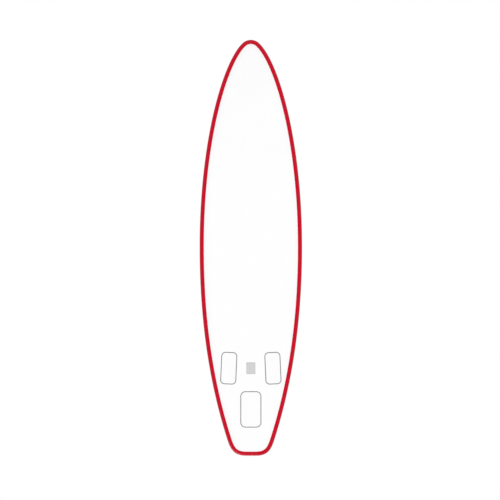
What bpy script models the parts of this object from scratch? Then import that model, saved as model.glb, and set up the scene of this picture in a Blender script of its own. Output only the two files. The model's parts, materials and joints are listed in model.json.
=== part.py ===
"""Inflatable stand-up paddle board: a drop-stitch hull with its rail, patches, deck pad, handle,
D-rings and valve.

Frame: metres, +Y to the nose, +X to starboard, +Z up through the deck. The origin is below the middle
of the board, on the surface that the board rests on.
"""

import math

import bmesh
import bpy
from mathutils import Euler, Matrix, Vector

# Hull, in plan and from the side
BOARD_LENGTH = 3.200
BOARD_WIDTH = 0.788
BOARD_THICKNESS = 0.152
NOSE_RADIUS = 0.0915
NOSE_ARC_DEG = 41.2
NOSE_SIDE_REACH = 0.195
BOW_REACH = 0.839
WIDE_POINT_FROM_TAIL = 1.608
STERN_REACH = 0.420
SHOULDER_HALF_WIDTH = 0.185
SHOULDER_FROM_TAIL = 0.1363
SHOULDER_ANGLE_DEG = 17.6
SHOULDER_SIDE_REACH = 0.562
TAIL_CORNER_REACH = 0.0853
TAIL_END_REACH = 0.1036
TAIL_FLAT_HALF_WIDTH = 0.0347
NOSE_ROCKER = 0.160
NOSE_ROCKER_RUN = 1.250
TAIL_ROCKER = 0.012
TAIL_ROCKER_RUN = 0.210
ROCKER_POWER = 2.2

# Layers of the hull, and where their edges lie round the rail, in degrees from its middle
LAP_GAP = 0.0003
BAND_THICKNESS = 0.0009
PANEL_THICKNESS = 0.0009
BAND_SHOWING = 0.0310
PANEL_EDGE_DEG = 38.0
SEAM_GAP = 0.0006

# Patches on the bottom
PATCH_THICKNESS = 0.0012
PATCH_RIM_WIDTH = 0.006
PATCH_RIM_HEIGHT = 0.0006
CENTRE_PATCH_WIDTH = 0.161
CENTRE_PATCH_LENGTH = 0.279
CENTRE_PATCH_CORNER = 0.0385
CENTRE_PATCH_FROM_TAIL = 0.357
SIDE_PATCH_WIDTH = 0.1225
SIDE_PATCH_LENGTH = 0.2485
SIDE_PATCH_CORNER = 0.0325
SIDE_PATCH_FROM_TAIL = 0.674
SIDE_PATCH_OFFSET = 0.170
SIDE_PATCH_TOE_IN_DEG = 2.6

# Deck pad
PAD_THICKNESS = 0.005
PAD_REAR_FROM_TAIL = 0.520
PAD_FRONT_FROM_TAIL = 1.940
PAD_MARGIN = 0.030
PAD_CORNER = 0.060
PAD_EDGE_CHAMFER = 0.0015
PAD_WINDOW_WIDTH = 0.140
PAD_WINDOW_LENGTH = 0.360
PAD_WINDOW_CORNER = 0.040

# Carry handle
HANDLE_FROM_TAIL = 1.480
HANDLE_PATCH_WIDTH = 0.080
HANDLE_PATCH_LENGTH = 0.070
HANDLE_PATCH_CORNER = 0.012
HANDLE_PATCH_SPAN = 0.250
FABRIC_PATCH_THICKNESS = 0.0010
STRAP_WIDTH = 0.038
STRAP_THICKNESS = 0.002
STRAP_SEWN_LENGTH = 0.045
STRAP_LIFTS_OFF_AT = 0.103
STRAP_EASE = 0.9
GRIP_LENGTH = 0.124
GRIP_WIDTH = 0.044
GRIP_THICKNESS = 0.017
GRIP_HEIGHT = 0.040
GRIP_CROWN = 0.006

# D-ring anchors
RING_PATCH_RADIUS = 0.037
RING_WIRE = 0.004
RING_CORNER = 0.004
RING_SIDE = 0.001
RING_SIDE_CLEARANCE = 0.0015
LOOP_WIDTH = 0.025
LOOP_THICKNESS = 0.0015
LOOP_SEWN_LENGTH = 0.030
LOOP_EYE_CLEARANCE = 0.0005
BOW_RING_FROM_TAIL = 3.000
CARGO_FRONT_FROM_TAIL = 2.720
CARGO_FRONT_OFFSET = 0.135
CARGO_REAR_FROM_TAIL = 2.280
CARGO_REAR_OFFSET = 0.205
LEASH_RING_FROM_TAIL = 0.140

# Inflation valve, heights from the deck panel's face
VALVE_FROM_TAIL = 0.400
THROAT_RADIUS = 0.0125
SLEEVE_RADIUS = 0.0185
NECK_RADIUS = 0.0190
NECK_TOP = 0.0130
FLANGE_RADIUS = 0.0280
FLANGE_THICKNESS = 0.0040
GASKET_THICKNESS = 0.0010
SLEEVE_DEPTH = 0.0160
SEAT_RADIUS = 0.0095
SEAT_TOP = -0.0090
SEAT_THICKNESS = 0.0030
SKIRT_RADIUS = 0.0145
SPIDER_TOP = -0.0060
SPIDER_THICKNESS = 0.0028
SPIDER_ARMS = 3
SPIDER_ARM_WIDTH = 0.0026
SPIDER_ARM_DEPTH = 0.0022
HUB_RADIUS = 0.0055
STEM_RADIUS = 0.0022
STEM_CLEARANCE = 0.0004
STEM_TRAVEL = 0.0060
BUTTON_RADIUS = 0.0062
BUTTON_THICKNESS = 0.0035
BUTTON_FACE_RADIUS = 0.0038
BUTTON_BEVEL = 0.0012
SEAL_DISC_RADIUS = 0.0115
SEAL_DISC_THICKNESS = 0.0020
FOOT_RADIUS = 0.0042
FOOT_THICKNESS = 0.0014
SPRING_RADIUS = 0.0041
SPRING_WIRE = 0.0008
SPRING_TURNS = 4.5
SPRING_RESERVE = 0.0008
SPRING_STEPS = 9
WASHER_THICKNESS = 0.0007
NUT_RADIUS = 0.0265
NUT_THICKNESS = 0.0080
POCKET_RADIUS = 0.0340
POCKET_DEPTH = 0.0450
CAP_RADIUS = 0.0215
CAP_TOP = 0.0180
CAP_SKIRT_DEPTH = 0.0040
CAP_ROOF = 0.0030
CAP_FACE_RADIUS = 0.0150
CAP_CROWN = 0.0003
CAP_CLEARANCE = 0.0006
CAP_SEAL_THICKNESS = 0.0010
PLUG_DEPTH = 0.0040
PLUG_WALL = 0.0024
TETHER_RADIUS = 0.0222
TETHER_THICKNESS = 0.0022
TETHER_WIDTH = 0.0080
TETHER_REACH = 0.0265
CAP_HINGE_HEIGHT = 0.0105
CAP_HINGE_RADIUS = 0.0011

# How fine the round shapes are
NOSE_STEPS = 4
BOW_STEPS = 12
SIDE_STEPS = 9
TAIL_CORNER_STEPS = 5
ROUND_STEPS = 28
SMALL_ROUND_STEPS = 18
CORNER_STEPS = 4
MERGE = 0.00001
SMOOTH_DEG = 35.0

# What follows from the sizes above
RAIL_RADIUS = BOARD_THICKNESS / 2
BAND_EDGE_DEG = math.degrees(math.acos(1 - BAND_SHOWING / RAIL_RADIUS))
PANEL_RADIUS = RAIL_RADIUS - BAND_THICKNESS - LAP_GAP
CORE_RADIUS = PANEL_RADIUS - PANEL_THICKNESS - LAP_GAP
MID_HEIGHT = PANEL_RADIUS + LAP_GAP + PATCH_THICKNESS + PATCH_RIM_HEIGHT
DECK_HEIGHT = MID_HEIGHT + PANEL_RADIUS
BOTTOM_HEIGHT = MID_HEIGHT - PANEL_RADIUS

WHITE = (0.90, 0.90, 0.90)
RED = (0.60, 0.008, 0.027)
GREY = (0.30, 0.31, 0.32)
DARK = (0.03, 0.03, 0.033)
STEEL = (0.62, 0.62, 0.62)
FABRIC = (0.70, 0.69, 0.66)


def clear_scene():
    for item in list(bpy.data.objects):
        bpy.data.objects.remove(item)


def collection(name):
    made = bpy.data.collections.new(name)
    bpy.context.scene.collection.children.link(made)
    return made


def material(name, colour, roughness, metallic=0.0):
    made = bpy.data.materials.new(name)
    made.use_nodes = True
    shader = made.node_tree.nodes["Principled BSDF"]
    shader.inputs["Base Color"].default_value = (*colour, 1.0)
    shader.inputs["Roughness"].default_value = roughness
    shader.inputs["Metallic"].default_value = metallic
    made.diffuse_color = (*colour, 1.0)
    return made


def from_tail(distance):
    """The Y of a place that is given by its distance from the tail end."""
    return distance - BOARD_LENGTH / 2


# Meshes and objects


def add_object(name, data, surface, group="parts"):
    made = bpy.data.objects.new(name, data)
    GROUPS[group].objects.link(made)
    if surface:
        data.materials.clear()
        data.materials.append(surface)
    return made


def finish_mesh(bm, name, smooth=True):
    """A mesh from a bmesh whose faces point outwards."""
    bmesh.ops.remove_doubles(bm, verts=bm.verts, dist=MERGE)
    bmesh.ops.recalc_face_normals(bm, faces=bm.faces)
    mesh = bpy.data.meshes.new(name)
    bm.to_mesh(mesh)
    bm.free()
    if smooth:
        mesh.shade_smooth()
        mesh.set_sharp_from_angle(angle=math.radians(SMOOTH_DEG))
    return mesh


def as_cutter(thing):
    thing.hide_render = True
    thing.display_type = "WIRE"
    return thing


def boolean(thing, other, operation="DIFFERENCE"):
    cut = thing.modifiers.new(operation.title(), "BOOLEAN")
    cut.operation = operation
    cut.object = other
    cut.solver = "EXACT"
    return cut


def curve_to_mesh(curve_object, name, surface, group="parts"):
    """A mesh object in place of a curve, with its caps welded on."""
    graph = bpy.context.evaluated_depsgraph_get()
    mesh = bpy.data.meshes.new_from_object(curve_object.evaluated_get(graph))
    place = curve_object.matrix_world.copy()
    bpy.data.objects.remove(curve_object)
    bm = bmesh.new()
    bm.from_mesh(mesh)
    bpy.data.meshes.remove(mesh)
    made = add_object(name, finish_mesh(bm, name), surface, group)
    made.matrix_world = place
    return made


def poly_curve(name, points, cyclic, dimensions="3D"):
    curve = bpy.data.curves.new(name, "CURVE")
    curve.dimensions = dimensions
    spline = curve.splines.new("POLY")
    spline.points.add(len(points) - 1)
    for slot, point in zip(spline.points, points):
        slot.co = (*Vector(point).to_3d(), 1.0)
    spline.use_cyclic_u = cyclic
    return curve


def plate(name, outline, thickness, surface, group="parts"):
    """A flat piece with this outline, from z = 0 up to its thickness."""
    curve = poly_curve(name + "_outline", outline, True, "2D")
    curve.fill_mode = "BOTH"
    curve.extrude = thickness / 2
    flat = add_object(name + "_outline", curve, None, group)
    made = curve_to_mesh(flat, name, surface, group)
    made.data.transform(Matrix.Translation((0, 0, thickness / 2)))
    return made


def turned(name, profile, surface, steps=ROUND_STEPS, closed=True, group="parts"):
    """A piece turned about Z. Its profile runs down its outer side; a closed one has a bore."""
    bm = bmesh.new()
    corners = [bm.verts.new((radius, 0.0, height)) for radius, height in profile]
    for here, there in zip(corners, corners[1:]):
        bm.edges.new((here, there))
    if closed:
        bm.edges.new((corners[-1], corners[0]))
    mesh = bpy.data.meshes.new(name)
    bm.to_mesh(mesh)
    bm.free()
    made = add_object(name, mesh, surface, group)
    screw = made.modifiers.new("Turn", "SCREW")
    screw.axis = "Z"
    screw.angle = 2 * math.pi
    screw.steps = steps
    screw.render_steps = steps
    screw.use_merge_vertices = True
    screw.merge_threshold = MERGE
    screw.use_smooth_shade = False
    return made


def rounded_rectangle(width, length, corner, steps=CORNER_STEPS):
    points = []
    centres = ((1, 1, 0), (-1, 1, 90), (-1, -1, 180), (1, -1, 270))
    for side_x, side_y, start in centres:
        for step in range(steps + 1):
            angle = math.radians(start + 90 * step / steps)
            points.append(
                (
                    side_x * (width / 2 - corner) + corner * math.cos(angle),
                    side_y * (length / 2 - corner) + corner * math.sin(angle),
                )
            )
    return points


def webbing(name, path, width, thickness, surface):
    """A flat strap across X along a path of (y, z) points at the middle of its thickness."""
    bm = bmesh.new()
    side = [bm.verts.new((-width / 2, y, z)) for y, z in path]
    edges = [bm.edges.new(pair) for pair in zip(side, side[1:])]
    swept = bmesh.ops.extrude_edge_only(bm, edges=edges)["geom"]
    moved = [item for item in swept if isinstance(item, bmesh.types.BMVert)]
    bmesh.ops.translate(bm, verts=moved, vec=(width, 0, 0))
    made = add_object(name, finish_mesh(bm, name), surface)
    wall = made.modifiers.new("Thickness", "SOLIDIFY")
    wall.thickness = thickness
    wall.offset = 0.0
    wall.use_even_offset = True
    return made


def arc(centre, radius, start_deg, end_deg, steps):
    angles = [math.radians(start_deg + (end_deg - start_deg) * i / steps) for i in range(steps + 1)]
    return [(centre[0] + radius * math.cos(a), centre[1] + radius * math.sin(a)) for a in angles]


# Hull outline and rocker


def bezier(start, start_handle, end_handle, end, steps):
    """Points and directions along a cubic curve, without its first point."""
    found = []
    for step in range(1, steps + 1):
        t = step / steps
        s = 1 - t
        point = s**3 * start + 3 * s * s * t * start_handle + 3 * s * t * t * end_handle + t**3 * end
        way = s * s * (start_handle - start) + 2 * s * t * (end_handle - start_handle)
        way += t * t * (end - end_handle)
        found.append((point, way.normalized()))
    return found


def half_outline():
    """The starboard half of the outline from nose tip to tail: (place, outward direction)."""
    half_width = BOARD_WIDTH / 2
    nose_centre = Vector((0, from_tail(BOARD_LENGTH - NOSE_RADIUS)))
    walk = []
    for step in range(NOSE_STEPS + 1):
        angle = math.radians(NOSE_ARC_DEG * step / NOSE_STEPS)
        out = Vector((math.sin(angle), math.cos(angle)))
        walk.append((nose_centre + NOSE_RADIUS * out, Vector((out.y, -out.x))))
    bow_start, bow_way = walk[-1]
    wide = Vector((half_width, from_tail(WIDE_POINT_FROM_TAIL)))
    aft = Vector((0, -1))
    walk += bezier(bow_start, bow_start + NOSE_SIDE_REACH * bow_way, wide - BOW_REACH * aft, wide, BOW_STEPS)
    lean = math.radians(SHOULDER_ANGLE_DEG)
    shoulder = Vector((SHOULDER_HALF_WIDTH, from_tail(SHOULDER_FROM_TAIL)))
    in_and_aft = Vector((-math.sin(lean), -math.cos(lean)))
    before = shoulder - SHOULDER_SIDE_REACH * in_and_aft
    walk += bezier(wide, wide + STERN_REACH * aft, before, shoulder, SIDE_STEPS)
    flat_end = Vector((TAIL_FLAT_HALF_WIDTH, from_tail(0)))
    corner = shoulder + TAIL_CORNER_REACH * in_and_aft
    walk += bezier(shoulder, corner, flat_end + Vector((TAIL_END_REACH, 0)), flat_end, TAIL_CORNER_STEPS)
    walk.append((Vector((0, from_tail(0))), Vector((-1, 0))))
    return [(place, Vector((-way.y, way.x))) for place, way in walk]


def rocker(y):
    """How far the hull is lifted at this Y."""
    ahead = max(0.0, y - from_tail(BOARD_LENGTH - NOSE_ROCKER_RUN)) / NOSE_ROCKER_RUN
    behind = max(0.0, from_tail(TAIL_ROCKER_RUN) - y) / TAIL_ROCKER_RUN
    return NOSE_ROCKER * ahead**ROCKER_POWER + TAIL_ROCKER * behind**ROCKER_POWER


def spine():
    """The line that the rail is rolled about: the outline moved in by the rail's radius."""
    return [(place - RAIL_RADIUS * out, out) for place, out in half_outline()]


def half_width_at(y):
    """The half width of the hull's flat at this Y."""
    line = [place for place, _ in spine()]
    for here, there in zip(line, line[1:]):
        if there.y <= y < here.y:
            part = (here.y - y) / (here.y - there.y)
            return here.x + part * (there.x - here.x)
    return 0.0


def flat_height(y):
    """The rocker of the hull's flat at this Y, which is straight between its stations."""
    stations = sorted({round(place.y, 6) for place, _ in spine()})
    for here, there in zip(stations, stations[1:]):
        if here <= y <= there:
            part = (y - here) / (there - here)
            return rocker(here) + part * (rocker(there) - rocker(here))
    return rocker(y)


def hull_layer(radius, angles, bottom_flat=False, top_flat=False):
    """The starboard half of one layer: sections along the spine, lofted from nose to tail."""
    bm = bmesh.new()
    rows = []
    for place, out in spine():
        section = [(0.0, place.y, -radius)] if bottom_flat else []
        for angle in angles:
            reach = radius * math.cos(math.radians(angle))
            rise = radius * math.sin(math.radians(angle))
            section.append((place.x + reach * out.x, place.y + reach * out.y, rise))
        if top_flat:
            section.append((0.0, place.y, radius))
        rows.append([bm.verts.new((x, y, MID_HEIGHT + z + rocker(y))) for x, y, z in section])
    for row, after in zip(rows, rows[1:]):
        for i in range(len(row) - 1):
            bm.faces.new((row[i], row[i + 1], after[i + 1], after[i]))
    bmesh.ops.remove_doubles(bm, verts=bm.verts, dist=MERGE)
    bmesh.ops.dissolve_degenerate(bm, edges=bm.edges, dist=MERGE)
    return bm


def mirrored(thing):
    flip = thing.modifiers.new("Port half", "MIRROR")
    flip.merge_threshold = MERGE
    return flip


def shell(thing, thickness):
    """A wall that grows inwards from the surface."""
    wall = thing.modifiers.new("Wall", "SOLIDIFY")
    wall.thickness = thickness
    wall.offset = -1.0
    wall.use_even_offset = True
    return wall


def spread(start, end, steps):
    return [start + (end - start) * i / steps for i in range(steps + 1)]


def hull_mesh(bm, name):
    mesh = bpy.data.meshes.new(name)
    bm.to_mesh(mesh)
    bm.free()
    mesh.shade_smooth()
    mesh.set_sharp_from_angle(angle=math.radians(SMOOTH_DEG))
    return mesh


def rail_angles():
    """Angles of the core's rail, which the side walls and panels share."""
    lower = spread(-90.0, -PANEL_EDGE_DEG, 2)
    middle = spread(-PANEL_EDGE_DEG, PANEL_EDGE_DEG, 3)
    upper = spread(PANEL_EDGE_DEG, 90.0, 2)
    return lower + middle[1:] + upper[1:]


def panel_angles():
    """Angles of a panel's turned-up edge, with the core's own corner and a point under the band's edge."""
    core_corner = -(90.0 + PANEL_EDGE_DEG) / 2
    return spread(-90.0, core_corner, 2) + [-BAND_EDGE_DEG, -PANEL_EDGE_DEG]


def drop_stitch_core():
    bm = hull_layer(CORE_RADIUS, rail_angles(), True, True)
    core = add_object("drop_stitch_core", hull_mesh(bm, "drop_stitch_core"), SURFACES["core"])
    mirrored(core)
    profile = [(0.0, 0.0), (POCKET_RADIUS, 0.0), (POCKET_RADIUS, -POCKET_DEPTH), (0.0, -POCKET_DEPTH)]
    pocket = as_cutter(turned("valve_pocket", profile, None, ROUND_STEPS, False, "cutters"))
    pocket.location = valve_place()
    boolean(core, pocket)


def panels():
    bottom = hull_layer(PANEL_RADIUS, panel_angles(), bottom_flat=True)
    under = add_object("bottom_panel", hull_mesh(bottom, "bottom_panel"), SURFACES["panel"])
    mirrored(under)
    shell(under, PANEL_THICKNESS)
    upper_angles = [-angle for angle in reversed(panel_angles())]
    top = hull_layer(PANEL_RADIUS, upper_angles, top_flat=True)
    deck = add_object("deck_panel", hull_mesh(top, "deck_panel"), SURFACES["panel"])
    mirrored(deck)
    shell(deck, PANEL_THICKNESS)
    hole_radius = SLEEVE_RADIUS + LAP_GAP
    above = PANEL_THICKNESS
    below = -2 * PANEL_THICKNESS
    profile = [(0.0, above), (hole_radius, above), (hole_radius, below), (0.0, below)]
    hole = as_cutter(turned("valve_hole", profile, None, ROUND_STEPS, False, "cutters"))
    hole.location = valve_place()
    boolean(deck, hole)


def rail_layer(stem, radius, angles, thickness, surface):
    """One strip of the rail on each side, with a butt seam at the nose and at the tail."""
    for side, sign in (("starboard", 1), ("port", -1)):
        name = f"{stem}_{side}"
        bm = hull_layer(radius, angles)
        for vert in bm.verts:
            vert.co.x = max(vert.co.x, SEAM_GAP / 2)
        if sign < 0:
            bmesh.ops.scale(bm, verts=bm.verts, vec=(-1, 1, 1))
            bmesh.ops.reverse_faces(bm, faces=bm.faces)
        strip = add_object(name, hull_mesh(bm, name), surface)
        shell(strip, thickness)


def rail():
    inner_edge = PANEL_EDGE_DEG - math.degrees(SEAM_GAP / PANEL_RADIUS)
    rail_layer("side_wall", PANEL_RADIUS, spread(-inner_edge, inner_edge, 3), PANEL_THICKNESS, SURFACES["core"])
    lower = [-BAND_EDGE_DEG, -PANEL_EDGE_DEG]
    middle = spread(-PANEL_EDGE_DEG, PANEL_EDGE_DEG, 6)
    band = lower + middle[1:] + [BAND_EDGE_DEG]
    rail_layer("rail_band", RAIL_RADIUS, band, BAND_THICKNESS, SURFACES["band"])


# Patches on the bottom


def fin_patch(name, width, length, corner, x, distance, turn_deg):
    """A flat patch with a raised rim on its lower face."""
    patch = plate(name, rounded_rectangle(width, length, corner), PATCH_THICKNESS, SURFACES["patch"])
    bm = bmesh.new()
    bm.from_mesh(patch.data)
    bmesh.ops.dissolve_limit(bm, angle_limit=math.radians(1), verts=bm.verts, edges=bm.edges)
    under = min(bm.faces, key=lambda face: face.normal.z)
    rim = bmesh.ops.inset_region(bm, faces=[under], thickness=PATCH_RIM_WIDTH)["faces"]
    raised = bmesh.ops.extrude_face_region(bm, geom=rim)["geom"]
    bmesh.ops.delete(bm, geom=rim, context="FACES_ONLY")
    lowered = [item for item in raised if isinstance(item, bmesh.types.BMVert)]
    bmesh.ops.translate(bm, verts=lowered, vec=(0, 0, -PATCH_RIM_HEIGHT))
    bm.to_mesh(patch.data)
    bm.free()
    top = BOTTOM_HEIGHT - LAP_GAP
    patch.location = (x, from_tail(distance), top - PATCH_THICKNESS)
    patch.rotation_euler = (0, 0, math.radians(turn_deg))


def fin_patches():
    fin_patch(
        "fin_patch_centre",
        CENTRE_PATCH_WIDTH,
        CENTRE_PATCH_LENGTH,
        CENTRE_PATCH_CORNER,
        0.0,
        CENTRE_PATCH_FROM_TAIL,
        0.0,
    )
    for side, sign in (("starboard", 1), ("port", -1)):
        fin_patch(
            f"fin_patch_{side}",
            SIDE_PATCH_WIDTH,
            SIDE_PATCH_LENGTH,
            SIDE_PATCH_CORNER,
            sign * SIDE_PATCH_OFFSET,
            SIDE_PATCH_FROM_TAIL,
            sign * SIDE_PATCH_TOE_IN_DEG,
        )


# Deck pad


def pad_outline():
    """The pad's outline: it keeps one margin to the rail, and its corners are rounded."""
    rear = from_tail(PAD_REAR_FROM_TAIL)
    front = from_tail(PAD_FRONT_FROM_TAIL)
    side = [Vector((half_width_at(y) - PAD_MARGIN, y)) for y in spread(rear, front, 8)]
    bm = bmesh.new()
    corners = side + [Vector((-point.x, point.y)) for point in reversed(side)]
    face = bm.faces.new([bm.verts.new(point.to_3d()) for point in corners])
    ends = [vert for vert in face.verts if min(abs(vert.co.y - rear), abs(vert.co.y - front)) < MERGE]
    bmesh.ops.bevel(
        bm, geom=ends, offset=PAD_CORNER, segments=CORNER_STEPS, profile=0.5, affect="VERTICES", material=-1
    )
    bm.faces.ensure_lookup_table()
    outline = [(loop.vert.co.x, loop.vert.co.y) for loop in bm.faces[0].loops]
    bm.free()
    return outline


def deck_pad():
    pad = plate("deck_pad", pad_outline(), PAD_THICKNESS, SURFACES["pad"])
    pad.location = (0, 0, DECK_HEIGHT + LAP_GAP)
    window = rounded_rectangle(PAD_WINDOW_WIDTH, PAD_WINDOW_LENGTH, PAD_WINDOW_CORNER)
    cutter = as_cutter(plate("handle_window", window, 3 * PAD_THICKNESS, None, "cutters"))
    cutter.location = (0, from_tail(HANDLE_FROM_TAIL), DECK_HEIGHT - PAD_THICKNESS)
    boolean(pad, cutter)
    edge = pad.modifiers.new("Edge", "BEVEL")
    edge.width = PAD_EDGE_CHAMFER
    edge.segments = 1
    edge.limit_method = "ANGLE"
    edge.angle_limit = math.radians(60)


# Carry handle


def strap_path():
    """The strap's front run in (y, z) from its sewn end to the grip, at the middle of its thickness."""
    low = LAP_GAP + FABRIC_PATCH_THICKNESS + LAP_GAP + STRAP_THICKNESS / 2
    grip_end = GRIP_LENGTH / 2 + LAP_GAP
    sewn = Vector((STRAP_LIFTS_OFF_AT + STRAP_SEWN_LENGTH, low))
    lift = Vector((STRAP_LIFTS_OFF_AT, low))
    top = Vector((grip_end, grip_height(grip_end)))
    out = Vector((1, -2 * GRIP_CROWN / (GRIP_LENGTH / 2))).normalized()
    reach = STRAP_EASE * (lift.x - top.x)
    rise = bezier(lift, lift - Vector((reach, 0)), top + reach * out, top, 8)
    return [tuple(sewn), tuple(lift)] + [tuple(point) for point, _ in rise]


def grip_height(y):
    """The height of the grip's middle line over the deck panel."""
    return GRIP_HEIGHT - GRIP_CROWN * (2 * y / GRIP_LENGTH) ** 2


def handle():
    middle = from_tail(HANDLE_FROM_TAIL)
    for end, sign in (("front", 1), ("rear", -1)):
        outline = rounded_rectangle(HANDLE_PATCH_WIDTH, HANDLE_PATCH_LENGTH, HANDLE_PATCH_CORNER)
        patch = plate(f"handle_patch_{end}", outline, FABRIC_PATCH_THICKNESS, SURFACES["patch"])
        patch.location = (0, middle + sign * HANDLE_PATCH_SPAN / 2, DECK_HEIGHT + LAP_GAP)
        path = [(sign * y, z) for y, z in strap_path()]
        strap = webbing(f"handle_strap_{end}", path, STRAP_WIDTH, STRAP_THICKNESS, SURFACES["webbing"])
        strap.location = (0, middle, DECK_HEIGHT)
    spine_points = [(0, y, grip_height(y)) for y in spread(-GRIP_LENGTH / 2, GRIP_LENGTH / 2, 6)]
    path = poly_curve("handle_grip_line", spine_points, False)
    section = poly_curve("grip_section", ellipse(GRIP_WIDTH / 2, GRIP_THICKNESS / 2, 14), True, "2D")
    path.bevel_mode = "OBJECT"
    path.bevel_object = as_cutter(add_object("grip_section", section, None, "cutters"))
    path.use_fill_caps = True
    line = add_object("handle_grip_line", path, None)
    line.location = (0, middle, DECK_HEIGHT)
    bpy.context.view_layer.update()
    curve_to_mesh(line, "handle_grip", SURFACES["grip"])


def ellipse(half_width, half_height, steps):
    angles = [2 * math.pi * i / steps for i in range(steps)]
    return [(half_width * math.cos(a), half_height * math.sin(a)) for a in angles]


# D-ring anchors


def loop_path():
    """The folded strap in (y, z) over its patch: flat, round the ring's bar, and back on itself."""
    half = LOOP_THICKNESS / 2
    low = LAP_GAP + half
    roll = RING_WIRE / 2 + LOOP_EYE_CLEARANCE + half
    eye = (0.0, low + roll)
    high = low + LOOP_THICKNESS + LAP_GAP
    round_bar = arc(eye, roll, -90, 120, 8)
    meet = -3 * roll
    return [(-LOOP_SEWN_LENGTH, low)] + round_bar + [(meet, high), (-LOOP_SEWN_LENGTH, high)]


def eye_height():
    """The height of a ring's bar over its patch."""
    return LAP_GAP + LOOP_THICKNESS + LOOP_EYE_CLEARANCE + RING_WIRE / 2


def ring_points():
    """The middle line of the ring's wire: a straight bar on X, round corners, and a bow."""
    half = LOOP_WIDTH / 2 + RING_SIDE_CLEARANCE + RING_WIRE / 2
    right = arc((half - RING_CORNER, RING_CORNER), RING_CORNER, -90, 0, 3)
    bow = arc((0.0, RING_CORNER + RING_SIDE), half, 0, 180, 10)
    left = arc((RING_CORNER - half, RING_CORNER), RING_CORNER, 180, 270, 3)
    points = right + bow + left
    return [point for point, after in zip(points, points[1:] + points[:1]) if math.dist(point, after) > MERGE]


def dring_anchor(stem, x, distance, turn_deg):
    """A base patch, a webbing loop and a steel ring. At no turn, the ring lies towards the nose."""
    y = from_tail(distance)
    low = flat_height(y - RING_PATCH_RADIUS)
    high = flat_height(y + RING_PATCH_RADIUS)
    slope = math.atan2(high - low, 2 * RING_PATCH_RADIUS)
    seat = Matrix.Translation((x, y, DECK_HEIGHT + (low + high) / 2))
    seat = seat @ Euler((slope, 0, 0)).to_matrix().to_4x4() @ Matrix.Translation((0, 0, LAP_GAP))
    turn = Matrix.Rotation(math.radians(turn_deg), 4, "Z")
    disc = [
        (RING_PATCH_RADIUS * math.cos(a), RING_PATCH_RADIUS * math.sin(a))
        for a in spread(0, 2 * math.pi, ROUND_STEPS)[:-1]
    ]
    patch = plate(f"{stem}_dring_patch", disc, FABRIC_PATCH_THICKNESS, SURFACES["patch"])
    patch.matrix_world = seat
    over = seat @ turn @ Matrix.Translation((0, 0, FABRIC_PATCH_THICKNESS))
    loop = webbing(f"{stem}_dring_loop", loop_path(), LOOP_WIDTH, LOOP_THICKNESS, SURFACES["webbing"])
    loop.matrix_world = over
    wire = poly_curve(f"{stem}_dring", [(px, py, 0.0) for px, py in ring_points()], True)
    wire.bevel_depth = RING_WIRE / 2
    wire.bevel_resolution = 2
    ring = add_object(f"{stem}_dring", wire, SURFACES["steel"])
    ring.matrix_world = over @ Matrix.Translation((0, 0, eye_height()))
    ring.matrix_world = ring.matrix_world @ Matrix.Rotation(-ring_droop(), 4, "X")


def ring_droop():
    """How far the ring tips down to lie on its patch, in radians."""
    return math.asin((eye_height() - RING_WIRE / 2 - LAP_GAP) / ring_reach())


def ring_reach():
    """From the ring's bar to the middle of its bow."""
    return max(point[1] for point in ring_points())


def dring_anchors():
    dring_anchor("bow", 0.0, BOW_RING_FROM_TAIL, 0)
    dring_anchor("leash", 0.0, LEASH_RING_FROM_TAIL, 180)
    for side, sign in (("starboard", 1), ("port", -1)):
        dring_anchor(f"cargo_front_{side}", sign * CARGO_FRONT_OFFSET, CARGO_FRONT_FROM_TAIL, sign * 90)
        dring_anchor(f"cargo_rear_{side}", sign * CARGO_REAR_OFFSET, CARGO_REAR_FROM_TAIL, sign * 90)


# Inflation valve


def valve_place():
    return Vector((0, from_tail(VALVE_FROM_TAIL), DECK_HEIGHT))


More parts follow.
